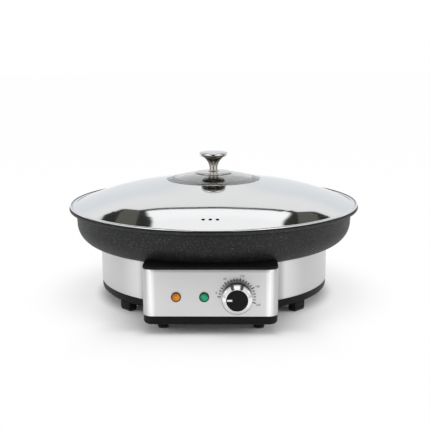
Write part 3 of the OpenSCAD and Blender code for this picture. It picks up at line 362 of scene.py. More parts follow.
dress(moulding("blue_insulation", (0.05, 0.18, 0.46, 1), (0.035, 0.12, 0.34, 1), 0.40), "neutral_wires")
earth_insulation, into, paint = finish("earth_insulation", {"Specular IOR Level": 0.45})
spiral = paint.node("TexWave", {"bands_direction": "DIAGONAL"},
                    {"Vector": paint.node("TexCoord", out="Object"), "Scale": 60})
earth_green, earth_yellow = (0.05, 0.26, 0.04, 1), (0.72, 0.62, 0.04, 1)
blend(paint, spiral.rise(0.55, 0.03), earth_green, earth_yellow).feed(into["Base Color"])
(0.38 + 0.15 * noise(paint, 700)).feed(into["Roughness"])
dress(earth_insulation, "earth_wire")


# Steel band: a strip of satin stainless sheet rolled into a ring and welded at
# the front, behind the control box. It stands on the tray and carries the deck
# ring. Its brushed lines run round it. Beside the box it has a painted highlight,
# and painted shade in the corner where it meets the box.
def shaded(colour, share):
    return tuple(share * c for c in colour[:3]) + (1,)


def satin_steel(name, shade, sheet_painted_light):
    """Brushed stainless sheet; the last argument gives painted highlight and painted shade by place, as a
    share of darkening.
    """
    material, into, paint = finish(name, {"Metallic": 1.0})
    lines = noise(paint, 1, 3, (14, 14, 2600))
    broad = noise(paint, 1, 2, (6, 6, 160))
    smear = noise(paint, 11, 3)
    bright, dull = shaded((1.0, 1.0, 1.005), shade), grey(0.90 * shade)
    sheet = blend(paint, 0.7 * lines + 0.3 * broad, dull, bright)
    # Painted highlight and painted shade, placed by position, over the brushed sheet.
    blend(paint, sheet_painted_light(paint), sheet, grey(0.02)).feed(into["Base Color"])
    (0.26 + 0.10 * lines + 0.05 * smear).feed(into["Roughness"])
    relief(paint, lines, 0.02 * mm, 0.35).feed(into["Normal"])
    return material


def band_painted_light(paint):
    """Painted highlight on the band next to the control box, and painted shade in the corner where it meets
    it.
    """
    x, y, _ = paint.axes()
    aside = abs(x)
    front_half = 1 - y.rise(-0.05, 0.03)
    band_painted_highlight = front_half * (1 - aside.rise(0.108, 0.014))
    band_painted_shade = front_half * (1 - aside.rise(0.090, 0.0045))
    return 0.198 - 0.198 * band_painted_highlight + 0.43 * band_painted_shade


band_steel = satin_steel("band_steel", 0.748, band_painted_light)
band_r, band_in, band_top = 157.8, 156.8, 72.3
band = piece("steel_band", *turned(rounded(
    [(band_in, tray_top), (band_r, tray_top, 0.3)] + [(band_r, z) for z in (26, 35, 47, 60, 69)]
    + [(band_r, band_top, 0.3), (band_in, band_top)], 4), 240), band_steel)
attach(band, "base")
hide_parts("base_band")


# Deck ring: black heat-resistant moulding between the band and the pan. It drops
# over the band, its skirt centres it, and the pan's flat floor rests on it.
deck_in, deck_top, skirt_in, skirt_out, skirt_low = 142.4, 75, 153.9, 156.4, 64.3
deck = piece("deck_ring", *turned(rounded(
    [(deck_in, deck_top, 0.5), (deck_in, band_top, 0.3), (skirt_in, band_top), (skirt_in, skirt_low, 0.4),
     (skirt_out, skirt_low, 0.4), (skirt_out, band_top), (band_r, band_top, 0.2), (band_r, deck_top, 0.9),
     (150, deck_top)], 5), 240), black_moulding)
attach(deck, "base")
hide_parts("deck_ring")


# Steel front: one strip of the same satin sheet, bent round the front of the
# control box with 12 mm corners. The lamps and the thermostat's bush pass through
# it, and it is clamped between the tray and the black cap.
box_half_w, front_y, box_corner_r = 81.2, -200.9, 12.0
front_ring_r, pan_floor_r, pan_turn_z, roof_hollow_r = 158.1, 161.8, 103, 29.2
roof_low, roof_top, roof_bend_r = 73.8, 83.3, 183.35


def roof(x, y):
    """Height of the box's top: level along the front, then following the underside of the pan."""
    past = math.hypot(x, y) - pan_floor_r
    if past < 0:
        return roof_low
    if past > roof_bend_r - pan_floor_r:
        return roof_top
    return pan_turn_z - math.sqrt(roof_hollow_r ** 2 - past ** 2)


def front_ring(inset, height):
    """Plan of the box front at a height, kept under the edge of the cap."""
    plan = box_front(inset, box_half_w, front_y, box_corner_r, front_ring_r)
    return [(x, y, min(height, roof(x, y) - 0.05)) for x, y in plan]


def strip(rows):
    """A skin through open rows of points, closed round from the last row to the first."""
    count = len(rows[0])
    points = [p for row in rows for p in row]
    faces = [tuple(k * count + end for k in range(len(rows))) for end in (0, count - 1)]
    for k in range(len(rows)):
        here, there = k * count, (k + 1) % len(rows) * count
        for i in range(count - 1):
            faces.append((here + i, here + i + 1, there + i + 1, there + i))
    return points, faces


def front_painted_light(paint):
    """Painted highlight on the front just before its bends, and painted shade round them."""
    x, y, _ = paint.axes()
    aside = abs(x)
    before = aside.rise(0.0668, 0.0015) * (1 - aside.rise(0.0713, 0.0012))
    bend = aside.rise(0.0738, 0.0022) * (1 - y.rise(-0.186, 0.004))
    return 0.215 - 0.22 * before + 0.188 * bend


front_steel = satin_steel("front_steel", 0.93, front_painted_light)
front_outside = [(0, z) for z in (22.9, 26, 40, 55, 68, 76, 79.8)]
front_upper = [(0.06, 80.0), (0.25, 80.08), (1, 80.08)]
front_rows = [(0.25, tray_top), (0.06, 22.68)] + front_outside + front_upper + [(1, 60), (1, tray_top)]
front = piece("steel_front", *strip([front_ring(inset, z) for inset, z in front_rows]), front_steel)
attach(front, "base")
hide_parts("control_panel")


# Cap of the control box: a thin black moulding that closes the top. It is level
# at the front and then follows the pan's underside, has a rounded front edge, and
# is held by two screws that come up through the tray.
cap_wall, cap_ring_r, steel_top = 3.2, 158.4, 80.1


def cap_edge(x, y):
    """Share of the cap's thickness that shows above the steel at its edge."""
    return min(max((roof(x, y) - steel_top) / cap_wall, 0.01), 1)


def cap_plan(inset):
    return box_front(inset, box_half_w, front_y, box_corner_r, cap_ring_r)


def bend_point(here, there):
    """Where the way from the cap's edge to the ring meets the bend of the roof."""
    a, b = Vector(here), Vector(there)
    low, high = 0.0, 1.0
    if a.length <= roof_bend_r:
        return here
    for _ in range(40):
        middle = (low + high) / 2
        low, high = (middle, high) if a.lerp(b, middle).length > roof_bend_r else (low, middle)
    return tuple(a.lerp(b, low))


def between(first, last, k, steps=1):
    """A plan part of the way from one plan to another."""
    return [(x + (u - x) * k / steps, y + (v - y) * k / steps) for (x, y), (u, v) in zip(first, last)]


def cap_rows():
    outer = cap_plan(0)
    first, last = (math.atan2(outer[end][1], outer[end][0]) % (2 * math.pi) for end in (0, -1))
    angles = [first + (last - first) * i / (len(outer) - 1) for i in range(len(outer))]
    inner = [(cap_ring_r * math.cos(a), cap_ring_r * math.sin(a)) for a in angles]
    rows = [[(x, y, roof(x, y) - cap_wall) for x, y in between(outer, inner, share)] for share in (1, 0.02)]
    for inset, drop in [(0, cap_wall), (0, 1.6), (0.12, 0.9), (0.45, 0.4), (1.0, 0.08), (1.7, 0)]:
        edge = cap_plan(inset)
        rows.append([(x, y, roof(x, y) - drop * cap_edge(x, y)) for x, y in edge])
    bend = [bend_point(here, there) for here, there in zip(edge, inner)]
    for near, far, steps in ((edge, bend, 6), (bend, inner, 18)):
        for k in range(1, steps + 1):
            rows.append([(x, y, roof(x, y)) for x, y in between(near, far, k, steps)])
    return rows


cap = piece("control_cap", *strip(cap_rows()), black_moulding, 50)
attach(cap, "base")
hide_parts("control_cap")


# Printed scale: fine black ticks, a black ring and plain numbers round the control
# knob, screen-printed on the steel. The numbers are degrees Celsius.
dial_x, dial_z = 32.0, 47.0
dial_middle = Matrix.Translation((dial_x, front_y, dial_z))
facing = Matrix.Rotation(math.pi / 2, 4, "X")
ink, into, paint = finish("scale_ink", {"Specular IOR Level": 0.3})
fade = noise(paint, 1500, 2)
blend(paint, fade, (0.012, 0.012, 0.013, 1), (0.045, 0.045, 0.047, 1)).feed(into["Base Color"])
(0.5 + 0.2 * fade).feed(into["Roughness"])


def tick(angle, near, far, width):
    """A thin printed mark that points at the knob's axis."""
    half = width / 2
    outline = [(-far, -half), (-near, -half), (-near, half), (-far, half)]
    rings = [[(x, y, z) for x, z in outline] for y in (0.02, -0.05)]
    return moved(lofted(rings), dial_middle @ Matrix.Rotation(math.radians(angle), 4, "Y"))


tick_near, fine_tick, main_tick = 19.6, (22.4, 1.05), (23.4, 1.3)
scale_ticks = piece("scale_ticks", *together(
    [tick(10 * k, tick_near, *(fine_tick if k % 5 else main_tick)) for k in range(21)]), ink)
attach(scale_ticks, "base")
scale_ring = piece("scale_ring", *moved(
    turned([(15.9, -0.02), (17.5, -0.02), (17.5, 0.05), (15.9, 0.05)], 96), dial_middle @ facing), ink)
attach(scale_ring, "base")
for words, angle, reach in (("0", 169, 25.2), ("60", 123, 26.4), ("120", 77, 26.2), ("180", 28, 27.2),
                            ("240", -22, 26.8)):
    letters = bpy.data.curves.new("number_" + words, "FONT")
    letters.body = words
    letters.size = 3.8 * mm
    letters.align_x = letters.align_y = "CENTER"
    letters.extrude = 0.03 * mm
    letters.materials.append(ink)
    number = bpy.data.objects.new("scale_number_" + words, letters)
    a = math.radians(angle)
    spot = (dial_x + reach * math.cos(a), front_y - 0.03, dial_z + reach * math.sin(a))
    number.location = [c * mm for c in spot]
    number.rotation_euler = (math.pi / 2, 0, 0)
    bpy.context.scene.collection.objects.link(number)
    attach(number, "base")


# Pilot lamps: clear amber and green lenses with a domed, ribbed face in a darker
# moulded rim. Each is pushed through the steel and held by a nut behind it.
lamp_z = 46.7


def off_axis(across, up):
    """Distance from an axis, from the distances to either side of it."""
    total = across * across + up * up
    return total.math("SQRT", total)


def lens_finish(name, deep, clear, axis_x):
    """Clear coloured plastic, deeper towards its dark rim, with moulded facets and ribs, and painted light
    brighter at its lower right.
    """
    material, into, paint = finish(name, {"Coat Weight": 0.06, "Coat Roughness": 0.05,
                                          "Specular IOR Level": 0.25})
    x, _, z = paint.axes()
    across, up = x - axis_x * mm, z - lamp_z * mm
    reach = off_axis(across, up) * 1000
    facets = noise(paint, 520, 1).rise(0.5, 0.16)
    # Painted light: the colour is brighter towards the lower right of the lens and darker towards its upper
    # left, as if lit from above.
    glow = blend(paint, 0.45 * facets + 0.50 * (1 - reach / 5.2) + (across - up) * 45, deep, clear)
    blend(paint, reach.rise(4.75, 0.25), glow, shaded(deep, 0.16)).feed(into["Base Color"])
    (0.10 + 0.10 * noise(paint, 500)).feed(into["Roughness"])
    ribs = paint.math("SINE", reach * 5.0)
    relief(paint, ribs * (1 - reach.rise(4.5, 0.2)), 0.12 * mm, 0.8).feed(into["Normal"])
    return material


lens_outline = rounded([(0, 0), (6.0, 0), (6.0, 1.7, 0.5), (4.9, 1.9, 0.35), (4.75, 1.55, 0.2), (4.4, 1.75),
                        (3.2, 2.25), (1.8, 2.52), (0.8, 2.59), (0, 2.6)])
for name, axis_x, slot, deep, clear in (
        ("power_lamp", -40.6, "amber_lens", (0.43, 0.107, 0.002, 1), (0.92, 0.375, 0.007, 1)),
        ("heating_lamp", -7.1, "green_lens", (0.003, 0.158, 0.075, 1), (0.026, 0.51, 0.262, 1))):
    lamp_place = Matrix.Translation((axis_x, front_y, lamp_z)) @ facing
    lens = piece(name, *moved(turned(lens_outline, 72), lamp_place), lens_finish(slot, deep, clear, axis_x))
    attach(lens, "base")
    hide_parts(name + "_lens")


# Control knob: a black moulding pressed on the thermostat's flat shaft, with a
# bright plated ring round its face and a white pointer inlaid. It turns with the
# shaft, and at rest the pointer lies at nine o'clock.
def bright_plate(name, tone, rough, *areas):
    """Polished and plated metal with faint wiping marks, and painted shade or painted reflection over areas
    of it.
    """
    material, into, paint = finish(name, {"Metallic": 1.0})
    haze = noise(paint, 90, 3)
    fine = noise(paint, 1800, 1)
    x, _, z = paint.axes()
    plating_and_painted_shade = blend(paint, haze, tone, shaded(tone, 0.94))
    for area, other in areas:
        plating_and_painted_shade = blend(paint, area(x, z), plating_and_painted_shade, other)
    plating_and_painted_shade.feed(into["Base Color"])
    (rough + 0.035 * haze + 0.02 * fine).feed(into["Roughness"])
    relief(paint, fine, 0.01 * mm, 0.12).feed(into["Normal"])
    return material


knob_place = Matrix.Translation((dial_x, front_y - 1, dial_z)) @ facing
knob_black = moulding("knob_black", (0.004, 0.004, 0.0045, 1), (0.007, 0.007, 0.0075, 1), 0.24, 0.13)
hollow_r, grip_r, skirt_r, ring_bore, ring_back, face_z = 12.9, 12.75, 15.5, 12.9, 9.95, 14.85
dial_body = piece("dial_body", *moved(turned(rounded(
    [(hollow_r, 0), (skirt_r, 0, 0.3), (skirt_r, ring_back), (grip_r, ring_back), (grip_r, 15.1, 0.3),
     (12.3, 15.1), (11.9, 14.95, 0.2), (6, face_z), (0, face_z), (0, 5), (hollow_r, 5)], 4), 120),
    knob_place), knob_black)
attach(dial_body, "dial")
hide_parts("dial_body")


# Painted shade: the outer edge of the knob's bright ring is toned darker, as a dark outline round it.
def ring_edge_painted_shade(x, z):
    return off_axis(x - dial_x * mm, z - dial_z * mm).rise(0.0171, 0.0002)


dial_bright = bright_plate("dial_bright", grey(0.80), 0.06, (ring_edge_painted_shade, grey(0.40)))
dial_ring = piece("dial_ring", *moved(turned(rounded(
    [(ring_bore, 10), (18.3, 10, 0.3), (18.4, 10.6, 0.3), (18.4, 11.5, 0.5), (16.6, 12.6, 1.2),
     (13.6, 15.35, 0.5), (ring_bore, 15.35, 0.2)], 5), 144), knob_place), dial_bright)
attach(dial_ring, "dial")
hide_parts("dial_ring")
pointer_white = moulding("pointer_white", (0.86, 0.86, 0.84, 1), (0.78, 0.78, 0.76, 1), 0.34)
pointer_place = knob_place @ Matrix.Translation((-8.9, 0, 0))
pointer = piece("dial_pointer", *moved(block(6.4, 2.7, 14.8, 15.25, 0.5, 0.1), pointer_place), pointer_white)
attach(pointer, "dial")
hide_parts("dial_pointer")


# Cord gland: black nylon, threaded through the back of the band and held by a
# nut inside. Its collar is ribbed for the fingers, and the mains cord would pass
# through its 8 mm bore.
gland_black = moulding("gland_black", grey(0.014), grey(0.022), 0.40)
dress(gland_black, "gland_nut")
gland_place = Matrix.Translation((0, 0, 38.6)) @ Matrix.Rotation(-math.pi / 2, 4, "X")
bore_r, thread_r, collar_r, thread_end, collar_y, collar_end = 4, 7, 10.4, 142.4, 157.9, 161.7
ribs, rib_depth = 24, 0.035
collar_points, collar_faces = turned(rounded(
    [(bore_r, thread_end, 0.4), (thread_r, thread_end, 0.4), (thread_r, collar_y), (collar_r, collar_y, 0.3),
     (collar_r, collar_end, 1.2), (6.5, collar_end, 0.6), (5.2, 161.2, 0.5), (bore_r, 160.2, 0.4)], 4), 96)
ribbed = []
for x, y, z in collar_points:
    on_collar = math.hypot(x, y) > 9.5
    shrink = 1 - rib_depth * (0.5 + 0.5 * math.cos(math.atan2(y, x) * ribs)) if on_collar else 1
    ribbed.append((x * shrink, y * shrink, z))
gland = piece("cord_gland", *moved((ribbed, collar_faces), gland_place), gland_black)
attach(gland, "base")
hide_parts("cord_gland")


# Pan: cast aluminium with a dark granite-type coating, sprayed with fine pale
# specks inside and out. A low flange runs round its mouth. Studs cast into its
# underside hold it down on the deck ring.
def along(cx, cz, r, start, end, steps):
    """Points along an arc in a turned outline, between two angles in degrees."""
    angles = [math.radians(start + (end - start) * i / steps) for i in range(steps + 1)]
    return [(cx + r * math.cos(a), cz + r * math.sin(a)) for a in angles]


pan_coating, into, paint = finish("pan_coating", {"Specular IOR Level": 0.23})
place = paint.node("TexCoord", out="Object")
specks = 0
for size, keep, tone in ((1000, 0.72, 0.9), (520, 0.80, 0.7), (1700, 0.60, 0.6)):
    cells = {"Vector": place, "Scale": size}
    middle = paint.node("TexVoronoi", {}, cells)
    chance = paint.node("SeparateColor", {}, {0: paint.node("TexVoronoi", {}, cells, out="Color")})
    specks = specks + (1 - middle.rise(0.24, 0.10)) * chance.rise(keep, 0.05) * tone
clouds = noise(paint, 16, 3)
x, y, z = paint.axes()
out = off_axis(x, y)
# Painted highlight: the outer edge of the flange is toned lighter. Painted shade: a near-black band under the
# flange, where no specks show.
rim_painted_highlight = out.rise(0.1955, 0.0006) * z.rise(0.1205, 0.0003)
under_rim_painted_shade = (out.rise(0.1893, 0.0004) * (1 - out.rise(0.1975, 0.0006))
             * z.rise(0.1178, 0.0006) * (1 - z.rise(0.1208, 0.0004)))
coat_and_painted_light = blend(paint, clouds, (0.0105, 0.0109, 0.0114, 1), (0.0150, 0.0154, 0.0158, 1))
coat_and_painted_light = blend(paint, rim_painted_highlight, coat_and_painted_light, (0.0185, 0.0185, 0.019, 1))
coat_and_painted_light = blend(paint, under_rim_painted_shade, coat_and_painted_light, grey(0.006))
blend(paint, specks * 0.47 * (1 - under_rim_painted_shade), coat_and_painted_light, grey(0.30)).feed(into["Base Color"])
pebble = noise(paint, 1300, 3)
(0.40 + 0.18 * pebble + 0.08 * clouds).feed(into["Roughness"])
relief(paint, pebble + specks * 0.5, 0.12 * mm, 0.5).feed(into["Normal"])
rim_z, pan_floor_z = 124.6, 80
outer_wall = along(pan_floor_r, pan_turn_z, 28, -90, 0, 28) + [(190.2, 109), (190.7, 115)]
flange = (along(193, 118.6, 2, 180, 90, 6) + [(195.5, 120.6)] + along(198.4, 122.2, 1.6, -90, 0, 6)
          + along(198.4, 123, 1.6, 0, 90, 6) + [(194, rim_z)] + along(188.5, 123.1, 1.5, 90, 180, 6))
inner_wall = [(186.5, 115)] + along(pan_floor_r, 104, 24, 0, -90, 24)
underside = [(r, deck_top) for r in (0, 80, 140, 155)]
pan_floor = [(r, pan_floor_z) for r in (155, 110, 60, 0)]
pan = piece("pan", *turned(underside + outer_wall + flange + inner_wall + pan_floor, 288), pan_coating)
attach(pan, "base")
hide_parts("pan")


# Lid: a ring of stainless sheet pressed to a dome and polished to a mirror, with a
# rolled bead round its flat brim and a stepped ledge for the glass. Three steam
# vents are pierced at the front, and a rolled lip welded under the brim centres it.
lid_steel, into, paint = finish("lid_steel", {"Metallic": 1.0})
wipe = noise(paint, 24, 4)
fine = noise(paint, 1, 2, (300, 300, 900))
x, y, z = paint.axes()
# Painted shade: in and just round each steam vent the sheet is near black and rough, as the dark inside of
# the holes.
half_pitch = 0.0043
off_vent = off_axis(paint.math("WRAP", x, half_pitch, -half_pitch), y + 0.1716)
vent_painted_shade = (1 - off_vent.rise(0.0022, 0.00012)) * (1 - (x * x).rise(0.00016, 0.00001))
out = off_axis(x, y)
# Painted shade and reflection: the inner side of the rolled bead and its rolled underside are toned near
# black.
bead_inner_painted_shade = out.rise(0.19595, 0.0001) * (1 - out.rise(0.19740, 0.0001)) * z.rise(0.12660, 0.00005)
bead_under_painted_shade = out.rise(0.19745, 0.0001) * (1 - z.rise(0.12595, 0.00015))
polish_and_painted_shade = blend(paint, wipe, (0.70, 0.705, 0.71, 1), (0.675, 0.68, 0.685, 1))
polish_and_painted_shade = blend(paint, bead_inner_painted_shade + bead_under_painted_shade, polish_and_painted_shade, (0.05, 0.05, 0.055, 1))
blend(paint, vent_painted_shade, polish_and_painted_shade, grey(0.012)).feed(into["Base Color"])
(0.035 + 0.03 * wipe + 0.012 * fine + 0.5 * vent_painted_shade).feed(into["Roughness"])
relief(paint, wipe, 0.02 * mm, 0.06).feed(into["Normal"])

brim_z, sheet, foot_r, shoulder_r, glass_edge = 126.5, 1.0, 2.5, 380.0, 65.0
foot, flank = math.radians(23), math.radians(9.5)
foot_c = (193.0, brim_z + foot_r)
dome_r, dome_z = foot_c[0] - foot_r * math.sin(foot), brim_z + foot_r * (1 - math.cos(foot))
shoulder = (dome_r - shoulder_r * math.sin(foot), dome_z - shoulder_r * math.cos(foot))
flank_r, flank_z = shoulder[0] + shoulder_r * math.sin(flank), shoulder[1] + shoulder_r * math.cos(flank)
crown_z = flank_z + (flank_r - glass_edge) * math.tan(flank)
ledge_z, ledge_in, flank_steps = crown_z - 3.8, 58.0, 14
vent_r, vent_reach, vent_room, lid_steps = 1.9, 171.7, 4.5, 251


def shoulder_z(r):
    return shoulder[1] + math.sqrt(shoulder_r ** 2 - (r - shoulder[0]) ** 2)


vent_rows = [vent_reach + vent_room, vent_reach, vent_reach - vent_room]
dome_rows = [191.4, 190, 188, 185.5, 182.5, 179.5] + vent_rows + list(range(163, 108, -3))
dome_out = [(r, shoulder_z(r)) for r in dome_rows]
flank_out = [(flank_r + (glass_edge - flank_r) * i / flank_steps,
              flank_z + (crown_z - flank_z) * i / flank_steps)
             for i in range(flank_steps)]
upper = along(*foot_c, foot_r, -90, -112, 8) + dome_out + flank_out
edge_turn_in = [(65.9, crown_z - 0.142), (65.35, crown_z - 0.07), (65.1, crown_z - 0.12),
                (glass_edge, crown_z - 0.35)]
step_in = [(glass_edge, ledge_z + 0.4), (64.6, ledge_z), (58.2, ledge_z), (ledge_in, ledge_z - 0.2),
           (ledge_in, ledge_z - 0.8), (58.2, ledge_z - 1), (65.6, ledge_z - 1), (66.0, ledge_z - 0.6),
           (66.0, crown_z - 1.5), (66.4, crown_z - 1.25)]
lower = [(r, z - sheet) for r, z in reversed(upper)]
brim_top = [(196.15, brim_z + 0.2), (195.8, brim_z + 0.06), (195.2, brim_z), (194.2, brim_z)]
hem = [(194, brim_z - sheet), (194.8, brim_z - sheet), (195.25, brim_z - 1.2), (195.25, rim_z + 0.3),
       (195.55, rim_z)] + along(197.75, rim_z + 1.5, 1.5, -90, 152, 18)
lid_outline = hem + brim_top + upper + edge_turn_in + step_in + lower
count = len(lid_outline)
points, faces = turned(lid_outline, lid_steps)


def nearest_row(drop):
    """Row of the lid's outline that runs through the vents, on the sheet's outside or inside."""
    aim = (vent_reach, shoulder_z(vent_reach) - drop)
    return min(range(count), key=lambda i: math.dist(lid_outline[i], aim))


def at(step, row):
    """Index of a point of the lid, and of the face that begins at it."""
    return step % lid_steps * count + row


def join(one, other):
    """Faces between two rings of points."""
    for i in range(len(one)):
        j = (i + 1) % len(one)
        faces.append((one[i], one[j], other[j], other[i]))


def vent_mouth(k, row, drop, sink):
    """Rounds off the square opening left for a vent on one side of the sheet; gives its inner edge."""
    mouth_steps = 24
    around = 2 * math.pi * k / lid_steps
    ways = ((1, 0), (1, 1), (0, 1), (-1, 1), (-1, 0), (-1, -1), (0, -1), (1, -1))
    loop = [at(k + dk, row + dr) for dk, dr in ways]
    middle = Vector((vent_reach * math.sin(around), -vent_reach * math.cos(around), 0))
    corners = Vector(points[loop[0]]) - middle, Vector(points[loop[2]]) - middle
    first, second = (math.atan2(c.y, c.x) for c in corners)
    way = 1 if math.sin(second - first) > 0 else -1
    rings = []
    for radius, depth in ((2.9, 0), (2.25, 0), (2.05, 0.02), (vent_r, 0.18)):
        ring = []
        for i in range(mouth_steps):
            a = first + way * 2 * math.pi * i / mouth_steps
            x, y = middle.x + radius * math.cos(a), middle.y + radius * math.sin(a)
            points.append((x, y, shoulder_z(math.hypot(x, y)) - drop - sink * depth))
            ring.append(len(points) - 1)
        rings.append(ring)
    for i in range(8):
        inside = tuple(rings[0][(3 * i + j) % mouth_steps] for j in (3, 2, 1, 0))
        faces.append((loop[i], loop[(i + 1) % 8]) + inside)
    for wide, narrow in zip(rings, rings[1:]):
        join(wide, narrow)
    return rings[-1]


outside, inside = nearest_row(0), nearest_row(sheet)
vents = (lid_steps - 2, 0, 2)
opened = {at(k + dk, row + dr)
          for k in vents for row in (outside, inside) for dk in (-1, 0) for dr in (-1, 0)}
faces = [face for i, face in enumerate(faces) if i not in opened]
for k in vents:
    join(vent_mouth(k, outside, 0, 1), vent_mouth(k, inside, sheet, -1))
lid = piece("lid_dome", points, faces, lid_steel, 50)
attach(lid, "lid")
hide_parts("lid_dome")
dress(lid_steel, "lid_lip")


# Window: a disc of smoke-tinted toughened glass, slumped to the dome's curve, with
# a ground flat seat for the knob, a hole for its screw and a flat ground edge. It
# lies on a grey silicone seal in the lid's ledge.
seat_r, seat_rise, glass, screw_hole_r = 26.5, 8.2, 4, 2.8
seat_z = crown_z + seat_rise
ball_z = (seat_r ** 2 + seat_z ** 2 - glass_edge ** 2 - crown_z ** 2) / (2 * seat_rise)
ball_r = math.hypot(glass_edge, crown_z - ball_z)


def ball(r, drop=0):
    return (r, ball_z + math.sqrt(ball_r ** 2 - r ** 2) - drop)


window_glass, into, paint = finish("window_glass", {"Base Color": (0.60, 0.62, 0.615, 1),
                                                    "Transmission Weight": 1.0, "IOR": 2.0})
(0.006 * noise(paint, 14, 2)).feed(into["Roughness"])
window = piece("lid_window", *turned(
    [(26, seat_z - 0.02), (24, seat_z), (14, seat_z), (screw_hole_r, seat_z)]
    + [(screw_hole_r, seat_z - glass), (14, seat_z - glass), (26, seat_z - 4.02)]
    + [ball(r, glass) for r in (28, 32, 37, 42, 47, 52, 56)]
    + [(58, crown_z - 2.9), (58.3, crown_z - 3), (64.2, crown_z - 3), (64.6, crown_z - 2.6),
       (64.6, crown_z - 0.25)]
    + [ball(r) for r in (64.2, 62, 59, 55, 50, 45, 40, 35, 31, 28)], 192), window_glass, 30)
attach(window, "lid")
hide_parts("lid_glass")
dress(moulding("seal_silicone", grey(0.55), grey(0.62), 0.5), "lid_seal")


# Lid knob: turned from bar, polished and plated, a slim neck flaring to a flat
# head. A screw from inside the lid pulls it and its round plate down on the glass.
base_z = seat_z + 2.4


# Painted reflection: the neck below the head is toned darker and warmer, and the flare under the head darker
# still, for the dark surroundings it mirrors.
def neck_painted_reflection(x, z):
    return 1 - z.rise((base_z + 20.5) * mm, 0.0015)


def flare_painted_reflection(x, z):
    return z.rise((base_z + 12) * mm, 0.003) * (1 - z.rise((base_z + 22) * mm, 0.0008))


knob_chrome = bright_plate("knob_chrome", (0.64, 0.63, 0.62, 1), 0.03, (neck_painted_reflection, (0.53, 0.515, 0.49, 1)),
                           (flare_painted_reflection, (0.17, 0.157, 0.135, 1)))
knob_h, neck_r, neck_z, flare_r, head_r, head_edge = 27.4, 5.8, 4, 18.3, 17.9, 1.6
flare_end = 180 - math.degrees(math.asin((knob_h - 5.4 - 0.9 - neck_z) / flare_r))
knob_outline = ([(0, 0), (7.0, 0), (7.3, 0.15), (7.4, 0.6)] + along(7.4, 2.2, 1.6, -90, -180, 6)
                + along(neck_r + flare_r, neck_z, flare_r, 180, flare_end, 22)
                + along(head_r, 23.6, head_edge, -75, 0, 7) + along(head_r, 24.8, head_edge, 0, 72, 8)
                + [(16.2, 26.75), (13, 27.05), (9, 27.25), (5, 27.36), (0, knob_h)])
lid_knob_place = Matrix.Translation((0, 0, base_z))
knob = piece("lid_knob", *moved(turned(knob_outline, 144), lid_knob_place), knob_chrome, 45)
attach(knob, "lid")
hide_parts("lid_knob")
plate_outline = ([(screw_hole_r, 0.05), (24.3, 0.05), (24.65, 0.12)] + along(23.45, 0.3, 1.3, 0, 74, 10)
                 + [(21, 1.78), (17, 2.02), (12, 2.28), (10.5, 2.36), (9.0, 2.4), (screw_hole_r, 2.4)])
plate_place = Matrix.Translation((0, 0, seat_z))
plate = piece("lid_knob_plate", *moved(turned(plate_outline, 144), plate_place), knob_chrome, 45)
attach(plate, "lid")
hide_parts("lid_knob_plate")


# Table and studio: a pale floor that fades to white, a large overhead softbox
# with dark flags at its sides, and a pale backdrop. Polished pieces see the
# softbox, the flags and the backdrop; everything else gets plain soft light.
def sight(paint):
    """Whether a ray comes from the camera, from a polished piece or through glass."""
    rays = ("Is Camera Ray", "Is Glossy Ray", "Is Transmission Ray")
    return [paint.node("LightPath", out=ray) for ray in rays]


def even(paint, level):
    return paint.node("CombineColor", {}, {0: level, 1: level, 2: level})


def output(tree, kind):
    return next(n for n in tree.nodes if n.type == kind)


tiny = 0.0005
floor_finish, into, paint = finish("floor", {"Base Color": grey(0.93), "Roughness": 0.9,
                                             "Specular IOR Level": 0.0})
x, y, _ = paint.axes()
reach, beside = off_axis(x, y), abs(x)
from_box = (beside - box_half_w * mm).at_least(front_y * mm - y).at_least(y + 0.1)
clear = (reach - 0.157).at_most(from_box)
by_camera, by_gloss, by_glass = sight(paint)

# In polished pieces the floor is lit on either side of the control box, with a
# dark doorway behind the camera and dark walls at the sides.
fan = (beside - 0.072) / (-0.195 - y).at_least(tiny)
on_right = x.rise(0.0, 0.001)
lit = (fan * (1 + 0.9 * on_right)).rise(0.24, 0.14) * (1 - fan.rise(2.6, 1.2)) * (1 - reach.rise(0.62, 0.1))
doorway = (1 - (beside / (0 - y).at_least(tiny)).rise(0.26, 0.04)) * reach.rise(0.6, 0.06)
wall = (beside - 1.6 * abs(y)).rise(0.62, 0.04)
mirrored = 1 + 0.42 * lit - 0.94 * doorway - 0.8 * wall
glow = blend(paint, by_gloss, grey(1), even(paint, mirrored))
white = paint.node("Emission", {}, {"Color": glow, "Strength": 1.0})

# The floor keeps the part's shadow near it, most in the nook between box and band,
# and fades to white further out.
near = clear.rise(0.003, 0.012)
far = (clear - 0.011 * (1 - beside.rise(0.1, 0.03))).rise(0.066, 0.047)
nook = (1 - beside.rise(0.1112, 0.03)) * y.rise(-0.19, 0.012) * (1 - y.rise(-0.08, 0.02))
share = (0.45 * near + 0.53 * far + 0.2 * near * (1 - far) * beside.rise(0.145, 0.02)) * (1 - 0.95 * nook)
seen = (by_camera + by_gloss + by_glass).at_most(1.0)
shadowed = Flow(paint.tree, output(paint.tree, "BSDF_PRINCIPLED").outputs[0])
mixed = paint.node("MixShader", {}, {0: seen * share, 1: shadowed, 2: white})
mixed.feed(output(paint.tree, "OUTPUT_MATERIAL").inputs["Surface"])
floor_r, floor_corners = 12000, 64
floor_turn = [2 * math.pi * i / floor_corners for i in range(floor_corners)]
floor = piece("floor", [(floor_r * math.cos(a), floor_r * math.sin(a), 0) for a in floor_turn],
              [tuple(range(floor_corners))], floor_finish)

world = bpy.data.worlds.new("studio")
world.use_nodes = True
bpy.context.scene.world = world
sky = Flow(world.node_tree)
x, y, z = sky.axes("Generated")
depth, height, aside = abs(y).at_least(tiny), z.at_least(tiny), abs(x)
steep, tilt, swing = z / depth, aside / height, aside / depth
top_edge = 0.845 - 0.09 * swing.rise(0.225, 0.16) - 0.115 * swing.rise(0.345, 0.025)
over_edge = steep - top_edge

